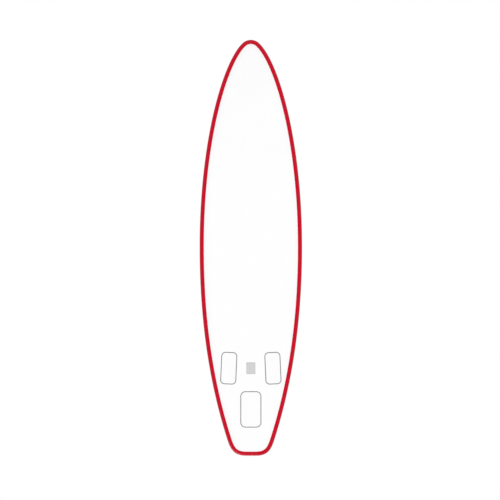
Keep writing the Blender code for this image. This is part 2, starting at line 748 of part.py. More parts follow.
def valve_body():
    under = 2 * LAP_GAP + GASKET_THICKNESS
    flange_top = under + FLANGE_THICKNESS
    seat_bottom = SEAT_TOP - SEAT_THICKNESS
    outside = [
        (NECK_RADIUS, NECK_TOP),
        (NECK_RADIUS, flange_top),
        (FLANGE_RADIUS - FLANGE_THICKNESS / 2, flange_top),
        (FLANGE_RADIUS, under + FLANGE_THICKNESS / 2),
        (FLANGE_RADIUS, under),
        (SLEEVE_RADIUS, under),
        (SLEEVE_RADIUS, -SLEEVE_DEPTH),
    ]
    inside = [
        (SKIRT_RADIUS, -SLEEVE_DEPTH),
        (SKIRT_RADIUS, seat_bottom),
        (SEAT_RADIUS, seat_bottom),
        (SEAT_RADIUS, SEAT_TOP),
        (THROAT_RADIUS, SEAT_TOP),
        (THROAT_RADIUS, NECK_TOP),
    ]
    body = turned("valve_body", outside + inside, SURFACES["valve"])
    body.location = valve_place()
    bore = STEM_RADIUS + STEM_CLEARANCE
    spider_bottom = SPIDER_TOP - SPIDER_THICKNESS
    ring = [(HUB_RADIUS, SPIDER_TOP), (HUB_RADIUS, spider_bottom), (bore, spider_bottom), (bore, SPIDER_TOP)]
    hub = as_cutter(turned("valve_hub", ring, None, SMALL_ROUND_STEPS, True, "cutters"))
    hub.location = valve_place()
    inner_end = (HUB_RADIUS + bore) / 2
    outer_end = (THROAT_RADIUS + SLEEVE_RADIUS) / 2
    for i in range(SPIDER_ARMS):
        bm = bmesh.new()
        bmesh.ops.create_cube(bm, size=1.0)
        bmesh.ops.scale(bm, vec=(outer_end - inner_end, SPIDER_ARM_WIDTH, SPIDER_ARM_DEPTH), verts=bm.verts)
        middle = Vector(((outer_end + inner_end) / 2, 0, SPIDER_TOP - SPIDER_THICKNESS / 2))
        bmesh.ops.translate(bm, vec=middle, verts=bm.verts)
        arm = add_object(f"valve_arm_{i}", finish_mesh(bm, f"valve_arm_{i}", False), None, "cutters")
        arm.location = valve_place()
        arm.rotation_euler = (0, 0, math.radians(90 + 360 * i / SPIDER_ARMS))
        boolean(body, as_cutter(arm), "UNION")
    boolean(body, hub, "UNION")


def ring_profile(outer, inner, top, bottom):
    return [(outer, top), (outer, bottom), (inner, bottom), (inner, top)]


def valve_fixed_rings():
    gasket_top = LAP_GAP + GASKET_THICKNESS
    inner = SLEEVE_RADIUS + LAP_GAP
    gasket = ring_profile(FLANGE_RADIUS - LAP_GAP, inner, gasket_top, LAP_GAP)
    turned("valve_gasket", gasket, SURFACES["rubber"]).location = valve_place()
    top = -PANEL_THICKNESS - LAP_GAP
    nut = ring_profile(NUT_RADIUS, inner, top, top - NUT_THICKNESS)
    turned("valve_nut", nut, SURFACES["valve"]).location = valve_place()


def valve_stem():
    spring_length = SPRING_TURNS * SPRING_WIRE + STEM_TRAVEL + SPRING_RESERVE
    spring_bottom = SPIDER_TOP + LAP_GAP
    washer_bottom = spring_bottom + spring_length + LAP_GAP
    washer_top = washer_bottom + WASHER_THICKNESS
    button_bottom = washer_top + LAP_GAP
    button_top = button_bottom + BUTTON_THICKNESS
    seat_bottom = SEAT_TOP - SEAT_THICKNESS
    disc_top = seat_bottom - LAP_GAP
    disc_bottom = disc_top - SEAL_DISC_THICKNESS
    foot_top = disc_bottom - LAP_GAP
    foot_bottom = foot_top - FOOT_THICKNESS
    profile = [
        (0.0, button_top),
        (BUTTON_FACE_RADIUS, button_top),
        (BUTTON_RADIUS, button_top - BUTTON_BEVEL),
        (BUTTON_RADIUS, button_bottom),
        (STEM_RADIUS, button_bottom),
        (STEM_RADIUS, foot_top),
        (FOOT_RADIUS, foot_top),
        (FOOT_RADIUS, foot_bottom),
        (0.0, foot_bottom),
    ]
    stem = turned("valve_stem", profile, SURFACES["button"], SMALL_ROUND_STEPS, False)
    stem.location = valve_place()
    disc = ring_profile(SEAL_DISC_RADIUS, STEM_RADIUS + LAP_GAP, disc_top, disc_bottom)
    turned("valve_seal_disc", disc, SURFACES["rubber"], SMALL_ROUND_STEPS).location = valve_place()
    inner = STEM_RADIUS + STEM_CLEARANCE
    outer = SPRING_RADIUS + SPRING_WIRE
    washer = ring_profile(outer, inner, washer_top, washer_bottom)
    turned("valve_spring_washer", washer, SURFACES["steel"], SMALL_ROUND_STEPS).location = valve_place()
    valve_spring(spring_bottom, spring_bottom + spring_length)


def valve_spring(low, high):
    """A round wire spring between two faces."""
    count = round(SPRING_TURNS * SPRING_STEPS)
    start = low + SPRING_WIRE / 2
    rise = (high - low - SPRING_WIRE) / count
    points = []
    for i in range(count + 1):
        angle = 2 * math.pi * i / SPRING_STEPS
        points.append((SPRING_RADIUS * math.cos(angle), SPRING_RADIUS * math.sin(angle), start + rise * i))
    gap = rise * SPRING_STEPS - SPRING_WIRE
    print(f"valve spring: least gap between turns {1000 * gap:.2f} mm")
    curve = poly_curve("valve_spring", points, False)
    curve.bevel_depth = SPRING_WIRE / 2
    curve.bevel_resolution = 1
    curve.use_fill_caps = True
    coil = add_object("valve_spring_line", curve, None)
    coil.location = valve_place()
    bpy.context.view_layer.update()
    curve_to_mesh(coil, "valve_spring", SURFACES["steel"])


def valve_cap():
    seal_bottom = NECK_TOP + LAP_GAP
    seal_top = seal_bottom + CAP_SEAL_THICKNESS
    under = seal_top + LAP_GAP
    plug_outer = THROAT_RADIUS - CAP_CLEARANCE
    plug_inner = plug_outer - PLUG_WALL
    plug_bottom = NECK_TOP - PLUG_DEPTH
    skirt_inner = NECK_RADIUS + CAP_CLEARANCE
    skirt_bottom = NECK_TOP - CAP_SKIRT_DEPTH
    roof = CAP_TOP - CAP_ROOF
    profile = [
        (0.0, CAP_TOP),
        (CAP_FACE_RADIUS, CAP_TOP - CAP_CROWN),
        (CAP_RADIUS - CAP_ROOF / 2, CAP_TOP - CAP_ROOF / 2),
        (CAP_RADIUS, CAP_TOP - CAP_ROOF),
        (CAP_RADIUS, skirt_bottom),
        (skirt_inner, skirt_bottom),
        (skirt_inner, under),
        (plug_outer, under),
        (plug_outer, plug_bottom),
        (plug_inner, plug_bottom),
        (plug_inner, roof),
        (0.0, roof),
    ]
    cap = turned("valve_cap", profile, SURFACES["valve"], ROUND_STEPS, False)
    cap.location = valve_place()
    ear_start = (CAP_RADIUS + skirt_inner) / 2
    barrel = arc((-TETHER_REACH, CAP_HINGE_HEIGHT), CAP_HINGE_RADIUS, 90, 270, 5)
    side = barrel + [(-ear_start, CAP_HINGE_HEIGHT - CAP_HINGE_RADIUS)]
    side.append((-ear_start, CAP_HINGE_HEIGHT + CAP_HINGE_RADIUS))
    ear = as_cutter(upright_plate("valve_cap_ear", side, TETHER_WIDTH, None, "cutters"))
    ear.location = valve_place()
    boolean(cap, ear, "UNION")
    seal = ring_profile(skirt_inner - LAP_GAP, plug_outer + LAP_GAP, seal_top, seal_bottom)
    turned("valve_cap_seal", seal, SURFACES["rubber"]).location = valve_place()


def upright_plate(name, side, width, surface, group="parts"):
    """A piece of even width across X with this outline in (y, z)."""
    made = plate(name, side, width, surface, group)
    made.data.transform(Matrix.Translation((0, 0, -width / 2)))
    made.data.transform(Matrix(((0, 0, 1, 0), (1, 0, 0, 0), (0, 1, 0, 0), (0, 0, 0, 1))))
    return made


def valve_tether():
    flange_top = 2 * LAP_GAP + GASKET_THICKNESS + FLANGE_THICKNESS
    low = flange_top + LAP_GAP
    high = low + TETHER_THICKNESS
    inner = NECK_RADIUS + LAP_GAP
    ring = turned("valve_tether", ring_profile(TETHER_RADIUS, inner, high, low), SURFACES["valve"])
    ring.location = valve_place()
    top = CAP_HINGE_HEIGHT - CAP_HINGE_RADIUS - LAP_GAP
    end = TETHER_REACH + CAP_HINGE_RADIUS
    start = (TETHER_RADIUS + inner) / 2
    side = [(-start, low), (-start, high), (-TETHER_REACH + CAP_HINGE_RADIUS, high)]
    side += [(-TETHER_REACH + CAP_HINGE_RADIUS, top), (-end, top), (-end, low)]
    tab = as_cutter(upright_plate("valve_tether_tab", side, TETHER_WIDTH, None, "cutters"))
    tab.location = valve_place()
    boolean(ring, tab, "UNION")


def valve():
    valve_body()
    valve_fixed_rings()
    valve_stem()
    valve_cap()
    valve_tether()


def main():
    drop_stitch_core()
    panels()
    rail()
    fin_patches()
    deck_pad()
    handle()
    dring_anchors()
    valve()


clear_scene()
GROUPS = {"parts": collection("paddle_board"), "cutters": collection("cutters")}
SURFACES = {
    "core": material("drop stitch fabric", FABRIC, 0.8),
    "panel": material("white coated fabric", WHITE, 0.45),
    "band": material("red coated fabric", RED, 0.40),
    "patch": material("white patch", WHITE, 0.45),
    "pad": material("foam pad", GREY, 0.9),
    "webbing": material("black webbing", DARK, 0.85),
    "grip": material("black neoprene", DARK, 0.75),
    "steel": material("stainless steel", STEEL, 0.25, 1.0),
    "valve": material("grey moulding", GREY, 0.5),
    "button": material("light moulding", FABRIC, 0.45),
    "rubber": material("black rubber", DARK, 0.8),
}
main()
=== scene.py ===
"""The looks of an inflatable stand-up paddle board, dressed over its CAD frame.

Metres, +Y to the nose, +X to starboard, +Z up through the deck. The board lies on its bottom, and the
camera looks up at that bottom from straight below.
"""

import json
import math

import bmesh
import bpy
from mathutils import Euler, Matrix, Vector


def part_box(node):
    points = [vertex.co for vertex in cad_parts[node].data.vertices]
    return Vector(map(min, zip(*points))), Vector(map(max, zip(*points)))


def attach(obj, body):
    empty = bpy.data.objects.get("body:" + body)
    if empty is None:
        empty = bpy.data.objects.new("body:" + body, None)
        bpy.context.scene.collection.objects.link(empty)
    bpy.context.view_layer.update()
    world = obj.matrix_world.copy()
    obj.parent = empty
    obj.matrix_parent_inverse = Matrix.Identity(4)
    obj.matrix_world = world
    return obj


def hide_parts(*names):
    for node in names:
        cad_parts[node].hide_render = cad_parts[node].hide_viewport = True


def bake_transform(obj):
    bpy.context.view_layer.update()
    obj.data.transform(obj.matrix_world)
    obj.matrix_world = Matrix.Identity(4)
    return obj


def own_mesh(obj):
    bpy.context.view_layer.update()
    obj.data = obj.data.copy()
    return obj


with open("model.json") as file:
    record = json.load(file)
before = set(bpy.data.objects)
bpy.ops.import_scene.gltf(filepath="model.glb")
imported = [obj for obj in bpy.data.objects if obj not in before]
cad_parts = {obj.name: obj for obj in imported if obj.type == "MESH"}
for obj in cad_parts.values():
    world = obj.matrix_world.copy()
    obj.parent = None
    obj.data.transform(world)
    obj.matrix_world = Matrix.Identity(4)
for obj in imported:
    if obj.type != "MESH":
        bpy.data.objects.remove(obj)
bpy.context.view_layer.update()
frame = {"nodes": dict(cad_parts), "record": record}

# Hull, with the sizes of the CAD
BOARD_LENGTH = 3.200
BOARD_WIDTH = 0.788
RAIL_RADIUS = 0.076
NOSE_RADIUS = 0.0915
NOSE_ARC_DEG = 41.2
NOSE_SIDE_REACH = 0.195
BOW_REACH = 0.839
WIDE_POINT_FROM_TAIL = 1.608
STERN_REACH = 0.420
SHOULDER_HALF_WIDTH = 0.185
SHOULDER_FROM_TAIL = 0.1363
SHOULDER_ANGLE_DEG = 17.6
SHOULDER_SIDE_REACH = 0.562
TAIL_CORNER_REACH = 0.0853
TAIL_END_REACH = 0.1036
TAIL_FLAT_HALF_WIDTH = 0.0347
NOSE_ROCKER = 0.160
NOSE_ROCKER_RUN = 1.250
TAIL_ROCKER = 0.012
TAIL_ROCKER_RUN = 0.210
ROCKER_POWER = 2.2
SKIN = 0.0009
LAP_GAP = 0.0003
SEAM_GAP = 0.0006
PANEL_RADIUS = RAIL_RADIUS - SKIN - LAP_GAP
PANEL_EDGE_DEG = 38.0
VALVE_HOLE_CLEARANCE = 0.0015
BAND_SHOWING = 0.0310
BAND_EDGE_DEG = math.degrees(math.acos(1 - BAND_SHOWING / RAIL_RADIUS))

# Heights, from the frame
BOTTOM_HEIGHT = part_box("bottom_panel")[0][2]
DECK_HEIGHT = BOTTOM_HEIGHT + 2 * PANEL_RADIUS
MID_HEIGHT = BOTTOM_HEIGHT + PANEL_RADIUS

# Patches on the bottom
PATCH_THICKNESS = 0.0012
PATCH_RIM_WIDTH = 0.006
PATCH_RIM_HEIGHT = 0.0006
PATCH_EDGE = 0.0002
# Side, width, length, corner, place across, place from the tail, and turn in degrees
FIN_PATCHES = (
    ("centre", 0.161, 0.279, 0.0385, 0.0, 0.357, 0.0),
    ("starboard", 0.1225, 0.2485, 0.0325, 0.170, 0.674, 2.6),
    ("port", 0.1225, 0.2485, 0.0325, -0.170, 0.674, -2.6),
)

# Blank film on the bottom
FILM_WIDTH = 0.075
FILM_LENGTH = 0.096
FILM_CORNER = 0.009
FILM_THICKNESS = 0.0002
FILM_MARGIN = 0.004
FILM_LINE = 0.0015
FILM_FROM_TAIL = 0.674

# Deck pad
PAD_THICKNESS = 0.005
PAD_REAR_FROM_TAIL = 0.520
PAD_FRONT_FROM_TAIL = 1.940
PAD_MARGIN = 0.030
PAD_CORNER = 0.060
PAD_WINDOW_WIDTH = 0.140
PAD_WINDOW_LENGTH = 0.360
PAD_WINDOW_CORNER = 0.040
PAD_EDGE = 0.0015
PAD_BORDER = 0.045
PAD_CHANNEL = 0.006
PAD_WINDOW_RIM = 0.016
GROOVE_PITCH = 0.030
GROOVE_WIDTH = 0.0028
GROOVE_DEPTH = 0.0015
GROOVE_LEAN_DEG = 30.0
GROOVE_WALL = 0.0003
GROOVES_EACH_WAY = 19

# Carry handle
HANDLE_FROM_TAIL = 1.480
HANDLE_PATCH_WIDTH = 0.080
HANDLE_PATCH_LENGTH = 0.070
HANDLE_PATCH_CORNER = 0.012
HANDLE_PATCH_SPAN = 0.250
HANDLE_PATCH_MARGIN = 0.0025
FABRIC_PATCH = 0.0010
FABRIC_PATCH_EDGE = 0.0003
STRAP_WIDTH = 0.038
STRAP_EDGE = 0.0006
STRAP_THICKNESS = 0.002
STRAP_SEWN_LENGTH = 0.045
STRAP_LIFTS_OFF_AT = 0.103
STRAP_EASE = 0.9
STRAP_ENDS_IN_GRIP = (0.004, 0.008)
STRAP_STITCH_END = 0.004
STRAP_STITCH_SIDE = 0.005
STITCH_PITCH = 0.0042
STITCH_LENGTH = 0.0032
STITCH_WIDTH = 0.0009
STITCH_HEIGHT = 0.6 * STITCH_WIDTH
GRIP_LENGTH = 0.124
GRIP_WIDTH = 0.044
GRIP_THICKNESS = 0.017
GRIP_HEIGHT = 0.040
GRIP_CROWN = 0.006
GRIP_TAPER = 0.03
GRIP_STITCH_DEG = 52
HEM = 0.007
HEM_PINCH = 0.07
HEM_PINCH_WIDTH = 0.0012
HEM_ROLL = 0.08
HEM_ROLL_WIDTH = 0.0025
# How far in each step goes, and how far up
PRESS = (0.0006, -0.0002)
GRIP_LIP = (0.0012, 0.0004)
GRIP_MOUTH = (0.0030, -0.0012)

# D-ring anchors
RING_PATCH_RADIUS = 0.037
RING_PATCH_MARGIN = 0.0030
RING_WIRE = 0.004
RING_CORNER = 0.004
RING_SIDE = 0.001
RING_SIDE_CLEARANCE = 0.0015
LOOP_WIDTH = 0.025
LOOP_THICKNESS = 0.0015
LOOP_SEWN_LENGTH = 0.030
LOOP_EYE_CLEARANCE = 0.0005
LOOP_EDGE = 0.0005
LOOP_STEP = 0.002
LOOP_WRAP_DEG = 128
LOOP_LEAVES_BAR = (-0.003, -0.0024)
LOOP_LANDS_AT = 3
LOOP_STITCH_SIDE = 0.0035
LOOP_STITCH_END = 0.003
LOOP_STITCH_START = 0.0105
# Each anchor, and the way that its ring points in degrees
RINGS = (
    ("bow", 0),
    ("leash", 180),
    ("cargo_front_starboard", 90),
    ("cargo_front_port", -90),
    ("cargo_rear_starboard", 90),
    ("cargo_rear_port", -90),
)

# Inflation valve, heights from the deck panel's face
VALVE_FROM_TAIL = 0.400
THROAT_RADIUS = 0.0125
SLEEVE_RADIUS = 0.0185
NECK_RADIUS = 0.0190
NECK_TOP = 0.0130
FLANGE_RADIUS = 0.0280
FLANGE_BOTTOM = 0.0016
FLANGE_TOP = 0.0056
FLANGE_CHAMFER = 0.0020
SLEEVE_BOTTOM = -0.0160
SKIRT_RADIUS = 0.0145
SEAT_RADIUS = 0.0095
SEAT_TOP = -0.0090
SEAT_BOTTOM = -0.0120
SPIDER_TOP = -0.0060
SPIDER_BOTTOM = -0.0088
SPIDER_ARMS = 3
SPIDER_ARM_WIDTH = 0.0026
SPIDER_ARM_HEIGHT = 0.0022
HUB_RADIUS = 0.0055
STEM_RADIUS = 0.0022
STEM_BORE = 0.0026
BUTTON_RADIUS = 0.0062
BUTTON_TOP = 0.0095
BUTTON_BOTTOM = 0.0060
BUTTON_FLAT_RADIUS = 0.0038
BUTTON_SLOPE = 0.0012
FOOT_RADIUS = 0.0042
FOOT_TOP = -0.0146
FOOT_BOTTOM = -0.0160
SPRING_RADIUS = 0.0041
SPRING_WIRE = 0.0008
SPRING_TURNS = 4.5
SPRING_BOTTOM = -0.0057
SPRING_LENGTH = 0.0104
CAP_RADIUS = 0.0215
CAP_TOP = 0.0180
CAP_SKIRT_BOTTOM = 0.0090
CAP_ROOF_UNDER = 0.0150
CAP_UNDER = 0.0146
# Down the cap's outside from the middle of its dished top: radius, and depth below the top
CAP_OUTSIDE = (
    (0.0, 0.0009),
    (0.0120, 0.0009),
    (0.0128, 0.0),
    (0.0180, 0.0002),
    (CAP_RADIUS - 0.0015, 0.0012),
    (CAP_RADIUS, 0.0030),
)
CAP_FOOT_IN = 0.0004
CAP_FOOT_RISE = 0.0006
CAP_SCALLOPS = 24
CAP_SCALLOP_HALF_DEPTH = 0.00035
CAP_SCALLOPS_BELOW = 0.0020
CAP_SCALLOPS_FROM_SIDE = 0.0005
PLUG_OUTER = 0.0119
PLUG_INNER = 0.0095
CAP_SKIRT_INNER = 0.0196
TETHER_RADIUS = 0.0222
TETHER_BOTTOM = 0.0059
TETHER_TOP = 0.0081
TETHER_WIDTH = 0.0080
TETHER_REACH = 0.0265
CAP_HINGE_HEIGHT = 0.0105
CAP_HINGE_RADIUS = 0.0011
JOIN_STEP = 0.0001
GASKET_RADIUS = 0.0277
GASKET_TOP = 0.0013
HOUSING_EDGE = 0.0004
MOULDED_EDGE = 0.0003
GASKET_EDGE = 0.0002

# Textures: pitches in millimetres, marks to a metre, depths in metres
YARN_PITCH_MM = 1.1
DROP_STITCH_PITCH_MM = 8.0
COAT_BLOTCHES = 6.0
SHEET_BLOTCHES = 9.0
SHEET_GRAIN_MM = 0.5
SHEET_GRAIN_DEPTH = 0.00002
FOAM_CELLS = 1300.0
FOAM_BLOTCHES = 160.0
FOAM_PIT_SHADE_UP_TO = 0.45
FOAM_DEPTH = 0.00035
RIB_STRETCH = 1.4
RIB_DEPTH = 0.0004
KNIT_PITCH_MM = 1.2
KNIT_STRETCH = 0.7
KNIT_DEPTH = 0.0002
RUB_MARKS = 900.0
RUB_DEPTH = 0.00001
RUB_ROUGHNESS = (0.7, 1.5)

# The photograph, in pixels
PHOTO_SIDE = 500
PHOTO_BOARD_LENGTH = 415.95
PHOTO_OFF_MIDDLE = (0.85, -2.17)

# Studio
CAMERA_HEIGHT = -3.0
FLOOR_TONE = "#9D9D9D"
FLOOR_RADIUS = 8.0
FLOOR_BELOW = 0.0005
FLOOR_SHADE_REACH = 0.4
FLOOR_FADE_FROM = 1.9
FLOOR_FADE_TO = 4.1
ROOM_BELOW = 1.0
ROOM_ABOVE = 0.68
ROOM_TURNS_OVER = 0.4
ROOM_LOSS_IN_GLOSS = 0.5
SUN_WIDTH_DEG = 40
# Each sun, its strength, and its tilt
SUNS = (
    ("sun_below", 0.35, (math.pi - 0.25, 0.2, 0)),
    ("sun_above", 0.80, (0.5, 0.35, 0)),
)

# How fine the round shapes are
NOSE_STEPS = 14
BOW_STEPS = 60
SIDE_STEPS = 40
TAIL_CORNER_STEPS = 20
TAIL_END_STEPS = 4
TAIL_FAN = 0.082
FLAT_COLUMNS = 12
PANEL_EDGE_STEPS = 12
BAND_STEPS = 24
HOLE_SIDES = 24
CORNER_STEPS = 10
PAD_STEPS = 22
PAD_EDGE_STEPS = 3
RIBBON_COLUMNS = 8
STRAP_RISE_STEPS = 28
SEWN_STEPS = 8
GRIP_STEPS_AROUND = 56
GRIP_STEPS_ALONG = 62
GRIP_STITCH_STEPS = 24
LOOP_WRAP_STEPS = 22
RING_CORNER_STEPS = 10
RING_BOW_STEPS = 40
WIRE_ROUNDNESS = 6
HUB_STEPS = 48
BUTTON_STEPS = 64
SPRING_STEPS = 28
CAP_HINGE_STEPS = 12
EDGE_STEPS = 2
EDGE_FROM_DEG = 30.0
ROUND_STEPS = 96
MERGE = 0.00001
SMOOTH_DEG = 35.0


def from_tail(distance):
    """The Y of a place that is given by its distance from the tail end."""
    return distance - BOARD_LENGTH / 2


def linear(colour):
    """A hex sRGB colour as linear red, green, blue and 1."""
    parts = [int(colour[i : i + 2], 16) / 255 for i in (1, 3, 5)]
    return [c / 12.92 if c <= 0.04045 else ((c + 0.055) / 1.055) ** 2.4 for c in parts] + [1.0]


# Materials


def add(tree, kind, feeds=None, **settings):
    """Adds a node. Each of feeds is a socket's name or number with its value or what is linked to it."""
    made = tree.nodes.new(kind)
    for name, value in settings.items():
        setattr(made, name, value)
    for name, value in (feeds or {}).items():
        if isinstance(value, bpy.types.NodeSocket):
            tree.links.new(value, made.inputs[name])
        else:
            made.inputs[name].default_value = value
    return made


def maths(tree, operation, *values):
    """One sum on plain numbers and on other nodes' results."""
    return add(tree, "ShaderNodeMath", dict(enumerate(values)), operation=operation).outputs[0]


def places(tree):
    """Places on the piece in metres."""
    return add(tree, "ShaderNodeTexCoord").outputs["Object"]


def noise(tree, place, per_metre, detail, distortion=0.0):
    """A cloudy pattern with about this many blotches to a metre."""
    feeds = {"Vector": place, "Scale": per_metre, "Detail": detail, "Distortion": distortion}
    return add(tree, "ShaderNodeTexNoise", feeds).outputs[0]


def finish_of(name, colour, roughness, sockets=None):
    """A material with its plain values on the shader. Returns it, its tree and its shader."""
    made = bpy.data.materials.new(name)
    made.use_nodes = True
    made.diffuse_color = linear(colour)
    shader = made.node_tree.nodes["Principled BSDF"]
    shader.inputs["Base Color"].default_value = linear(colour)
    shader.inputs["Roughness"].default_value = roughness
    for socket, value in (sockets or {}).items():
        shader.inputs[socket].default_value = value
    return made, made.node_tree, shader


def blend_colours(tree, shader, factor, low, high):
    """Colours the surface from low to high by a factor between 0 and 1."""
    ramp = add(tree, "ShaderNodeValToRGB", {0: factor})
    ramp.color_ramp.elements[0].color = linear(low)
    ramp.color_ramp.elements[1].color = linear(high)
    tree.links.new(ramp.outputs[0], shader.inputs["Base Color"])
    return ramp


def relief(tree, shader, height, depth, under=None):
    """A bump of this real depth in metres, over another bump if one is given."""
    feeds = {"Height": height, "Distance": depth, "Strength": 1.0}
    if under:
        feeds["Normal"] = under
    bump = add(tree, "ShaderNodeBump", feeds)
    tree.links.new(bump.outputs[0], shader.inputs["Normal"])
    return bump.outputs[0]


def weave(tree, along, across, pitch_mm, stretch=1.0):
    """The height of a plain weave whose threads are this far apart, on two coordinates in metres."""
    per_metre = 1000 / pitch_mm
    waves = [
        maths(tree, "SINE", maths(tree, "MULTIPLY", value, math.pi * per_metre / share))
        for value, share in ((along, 1.0), (across, stretch))
    ]
    return maths(tree, "MULTIPLY_ADD", maths(tree, "MULTIPLY", *waves), 0.5, 0.5)


def coated_pvc(name, colour, shade, weave_depth, dimple_depth, roughness, specular):
    """Calendered PVC on cloth: a satin film with a faint weave and, on drop-stitch, rows of dimples."""
    made, tree, shader = finish_of(name, colour, roughness, {"Specular IOR Level": specular})
    place = places(tree)
    axes = add(tree, "ShaderNodeSeparateXYZ", {0: place})
    side = maths(tree, "ADD", axes.outputs["X"], axes.outputs["Z"])
    blend_colours(tree, shader, noise(tree, place, COAT_BLOTCHES, 3.0), shade, colour)
    # The yarns stand up under the film, and the drop stitches pull it down in rows
    under = None
    for pitch_mm, depth in ((YARN_PITCH_MM, weave_depth), (DROP_STITCH_PITCH_MM, dimple_depth)):
        height = weave(tree, side, axes.outputs["Y"], pitch_mm)
        under = relief(tree, shader, height, depth, under)
    return made


def plain_pvc(name, colour, shade, roughness, specular):
    """PVC sheet that a roller pressed smooth: an even satin with a very fine grain."""
    made, tree, shader = finish_of(name, colour, roughness, {"Specular IOR Level": specular})
    place = places(tree)
    blend_colours(tree, shader, noise(tree, place, SHEET_BLOTCHES, 3.0), shade, colour)
    relief(tree, shader, noise(tree, place, 1000 / SHEET_GRAIN_MM, 2.0), SHEET_GRAIN_DEPTH)
    return made


def closed_cell_foam(name, colour, shade):
    """EVA foam, skived from a block: matt, with cut cells of 0.4 to 1 mm all over."""
    made, tree, shader = finish_of(name, colour, 0.92, {"Specular IOR Level": 0.25})
    place = places(tree)
    cells = add(tree, "ShaderNodeTexVoronoi", {"Vector": place, "Scale": FOAM_CELLS})
    blotches = noise(tree, place, FOAM_BLOTCHES, 6.0)
    mixed = maths(tree, "MULTIPLY", cells.outputs["Distance"], blotches)
    # The colour is darker in the cut cells' pits, a painted shade, and it also varies at random in blotches
    ramp = blend_colours(tree, shader, mixed, shade, colour)
    ramp.color_ramp.elements[1].position = FOAM_PIT_SHADE_UP_TO
    relief(tree, shader, mixed, FOAM_DEPTH)
    return made


def threaded(made, tree, shader, uv_map, colours, pitch_mm, stretch, depth):
    """Lays threads along a piece's own UV map, which is in metres."""
    spot = add(tree, "ShaderNodeUVMap", uv_map=uv_map)
    axes = add(tree, "ShaderNodeSeparateXYZ", {0: spot.outputs[0]})
    threads = weave(tree, axes.outputs["X"], axes.outputs["Y"], pitch_mm, stretch)
    # Painted shade: the colour darkens where the threads dip, in the gaps of the weave or knit
    blend_colours(tree, shader, threads, *colours)
    relief(tree, shader, threads, depth)
    return made


def woven_strap(name, colour, shade, pitch_mm):
    """Polyester webbing, narrow-woven: matt ribs along the strap, with painted shade darkening the gaps
    between them.
    """
    sheen = {"Specular IOR Level": 0.3, "Sheen Weight": 0.25, "Sheen Roughness": 0.5}
    plain = finish_of(name, colour, 0.85, sheen)
    return threaded(*plain, "strap", (shade, colour), pitch_mm, RIB_STRETCH, RIB_DEPTH)


def knit_faced_neoprene(name, colour, shade):
    """Neoprene foam with a nylon jersey face: soft, dull, with a fine knit."""
    sheen = {"Specular IOR Level": 0.2, "Sheen Weight": 0.5, "Sheen Roughness": 0.4}
    # Its darker tone is painted shade in the gaps of the knit
    plain = finish_of(name, colour, 0.9, sheen)
    # Jersey loops are 0.6 mm wide, drawn twice as wide so that a near view shows them
    return threaded(*plain, "sleeve", (shade, colour), KNIT_PITCH_MM, KNIT_STRETCH, KNIT_DEPTH)


def steel_wire(name, colour, roughness):
    """Stainless steel wire, bent and tumble-polished: bright, with faint rub marks."""
    made, tree, shader = finish_of(name, colour, roughness, {"Metallic": 1.0})
    rubs = noise(tree, places(tree), RUB_MARKS, 4.0, 1.0)
    least, most = (share * roughness for share in RUB_ROUGHNESS)
    rough = add(tree, "ShaderNodeMapRange", {"Value": rubs, "To Min": least, "To Max": most})
    tree.links.new(rough.outputs[0], shader.inputs["Roughness"])
    relief(tree, shader, rubs, RUB_DEPTH)
    return made


def moulded(name, colour, shade, roughness, grain_mm, depth):
    """Injection-moulded plastic or rubber: an even colour with the fine texture of the mould."""
    made, tree, shader = finish_of(name, colour, roughness, {"Specular IOR Level": 0.45})
    grain = noise(tree, places(tree), 1000 / grain_mm, 3.0)
    blend_colours(tree, shader, grain, shade, colour)
    relief(tree, shader, grain, depth)
    return made


FINISH = {
    # White PVC on drop-stitch cloth is bright and even, with only a breath of weave
    "skin": coated_pvc("white coated drop-stitch PVC", "#F6F6F6", "#F3F3F3", 0.00004, 0.00010, 0.45, 0.3),
    # The rail band is a second strip, matt and even, whose backing cloth shows a little more
    "band": coated_pvc("red calendered PVC", "#CE0025", "#C50023", 0.00006, 0.00002, 0.36, 0.08),
    "patch": plain_pvc("white die-cut PVC patch", "#F5F5F5", "#F2F2F2", 0.5, 0.3),
    # The patch's raised rim is coloured grey all round
    "edge": plain_pvc("grey welded edge", "#7C7C7E", "#757577", 0.5, 0.3),
    "raw": coated_pvc("raw drop-stitch cloth", "#DAD8D3", "#CFCDC8", 0.00010, 0.00030, 0.85, 0.2),
    # The pad's top layer, and the lighter layer that its grooves cut down to, each with painted shade in its
    # cells' pits
    "foam": closed_cell_foam("grey EVA foam", "#7E8184", "#6A6D70"),
    "foam_light": closed_cell_foam("pale EVA foam", "#C9CBCC", "#B4B6B8"),
    # The webbing's darker tone is painted shade in the gaps between its ribs
    "webbing": woven_strap("black polyester webbing", "#2E2E30", "#0E0E10", 1.6),
    "thread": moulded("grey bonded thread", "#8C8C8E", "#6E6E70", 0.6, 0.15, 0.00003),
    # The neoprene's darker tone is painted shade in the gaps of its knit
    "neoprene": knit_faced_neoprene("black knit-faced neoprene", "#303032", "#151517"),
    "steel": steel_wire("polished stainless steel", "#C9C8C5", 0.16),
    # The valve's mould is spark-eroded, so it is matt with a sandy grain of about 0.4 mm
    "valve": moulded("grey spark-textured nylon", "#9A9B9D", "#909193", 0.50, 0.4, 0.00008),
    "cap": moulded("dark grey spark-textured nylon", "#616366", "#585A5D", 0.48, 0.4, 0.00008),
    "button": moulded("off-white acetal", "#E2E0DA", "#DEDCD6", 0.28, 0.4, 0.00001),
    "rubber": moulded("black EPDM rubber", "#2A2A2B", "#202021", 0.75, 0.3, 0.00003),
    # The film is cast vinyl with a screen-printed grey line and field: smooth, even and a little glossier
    "film": plain_pvc("white cast vinyl film", "#F1F1F0", "#EDEDEC", 0.4, 0.3),
    "film_line": plain_pvc("grey screen print", "#8E8E90", "#88888A", 0.4, 0.3),
    "film_field": plain_pvc("pale grey screen print", "#CDCDCE", "#C8C8C9", 0.4, 0.3),
}


# Meshes and pieces


def put(name, data):
    """Puts a mesh, a wire, a lamp or a camera in the scene."""
    made = bpy.data.objects.new(name, data)
    bpy.context.scene.collection.objects.link(made)
    return made


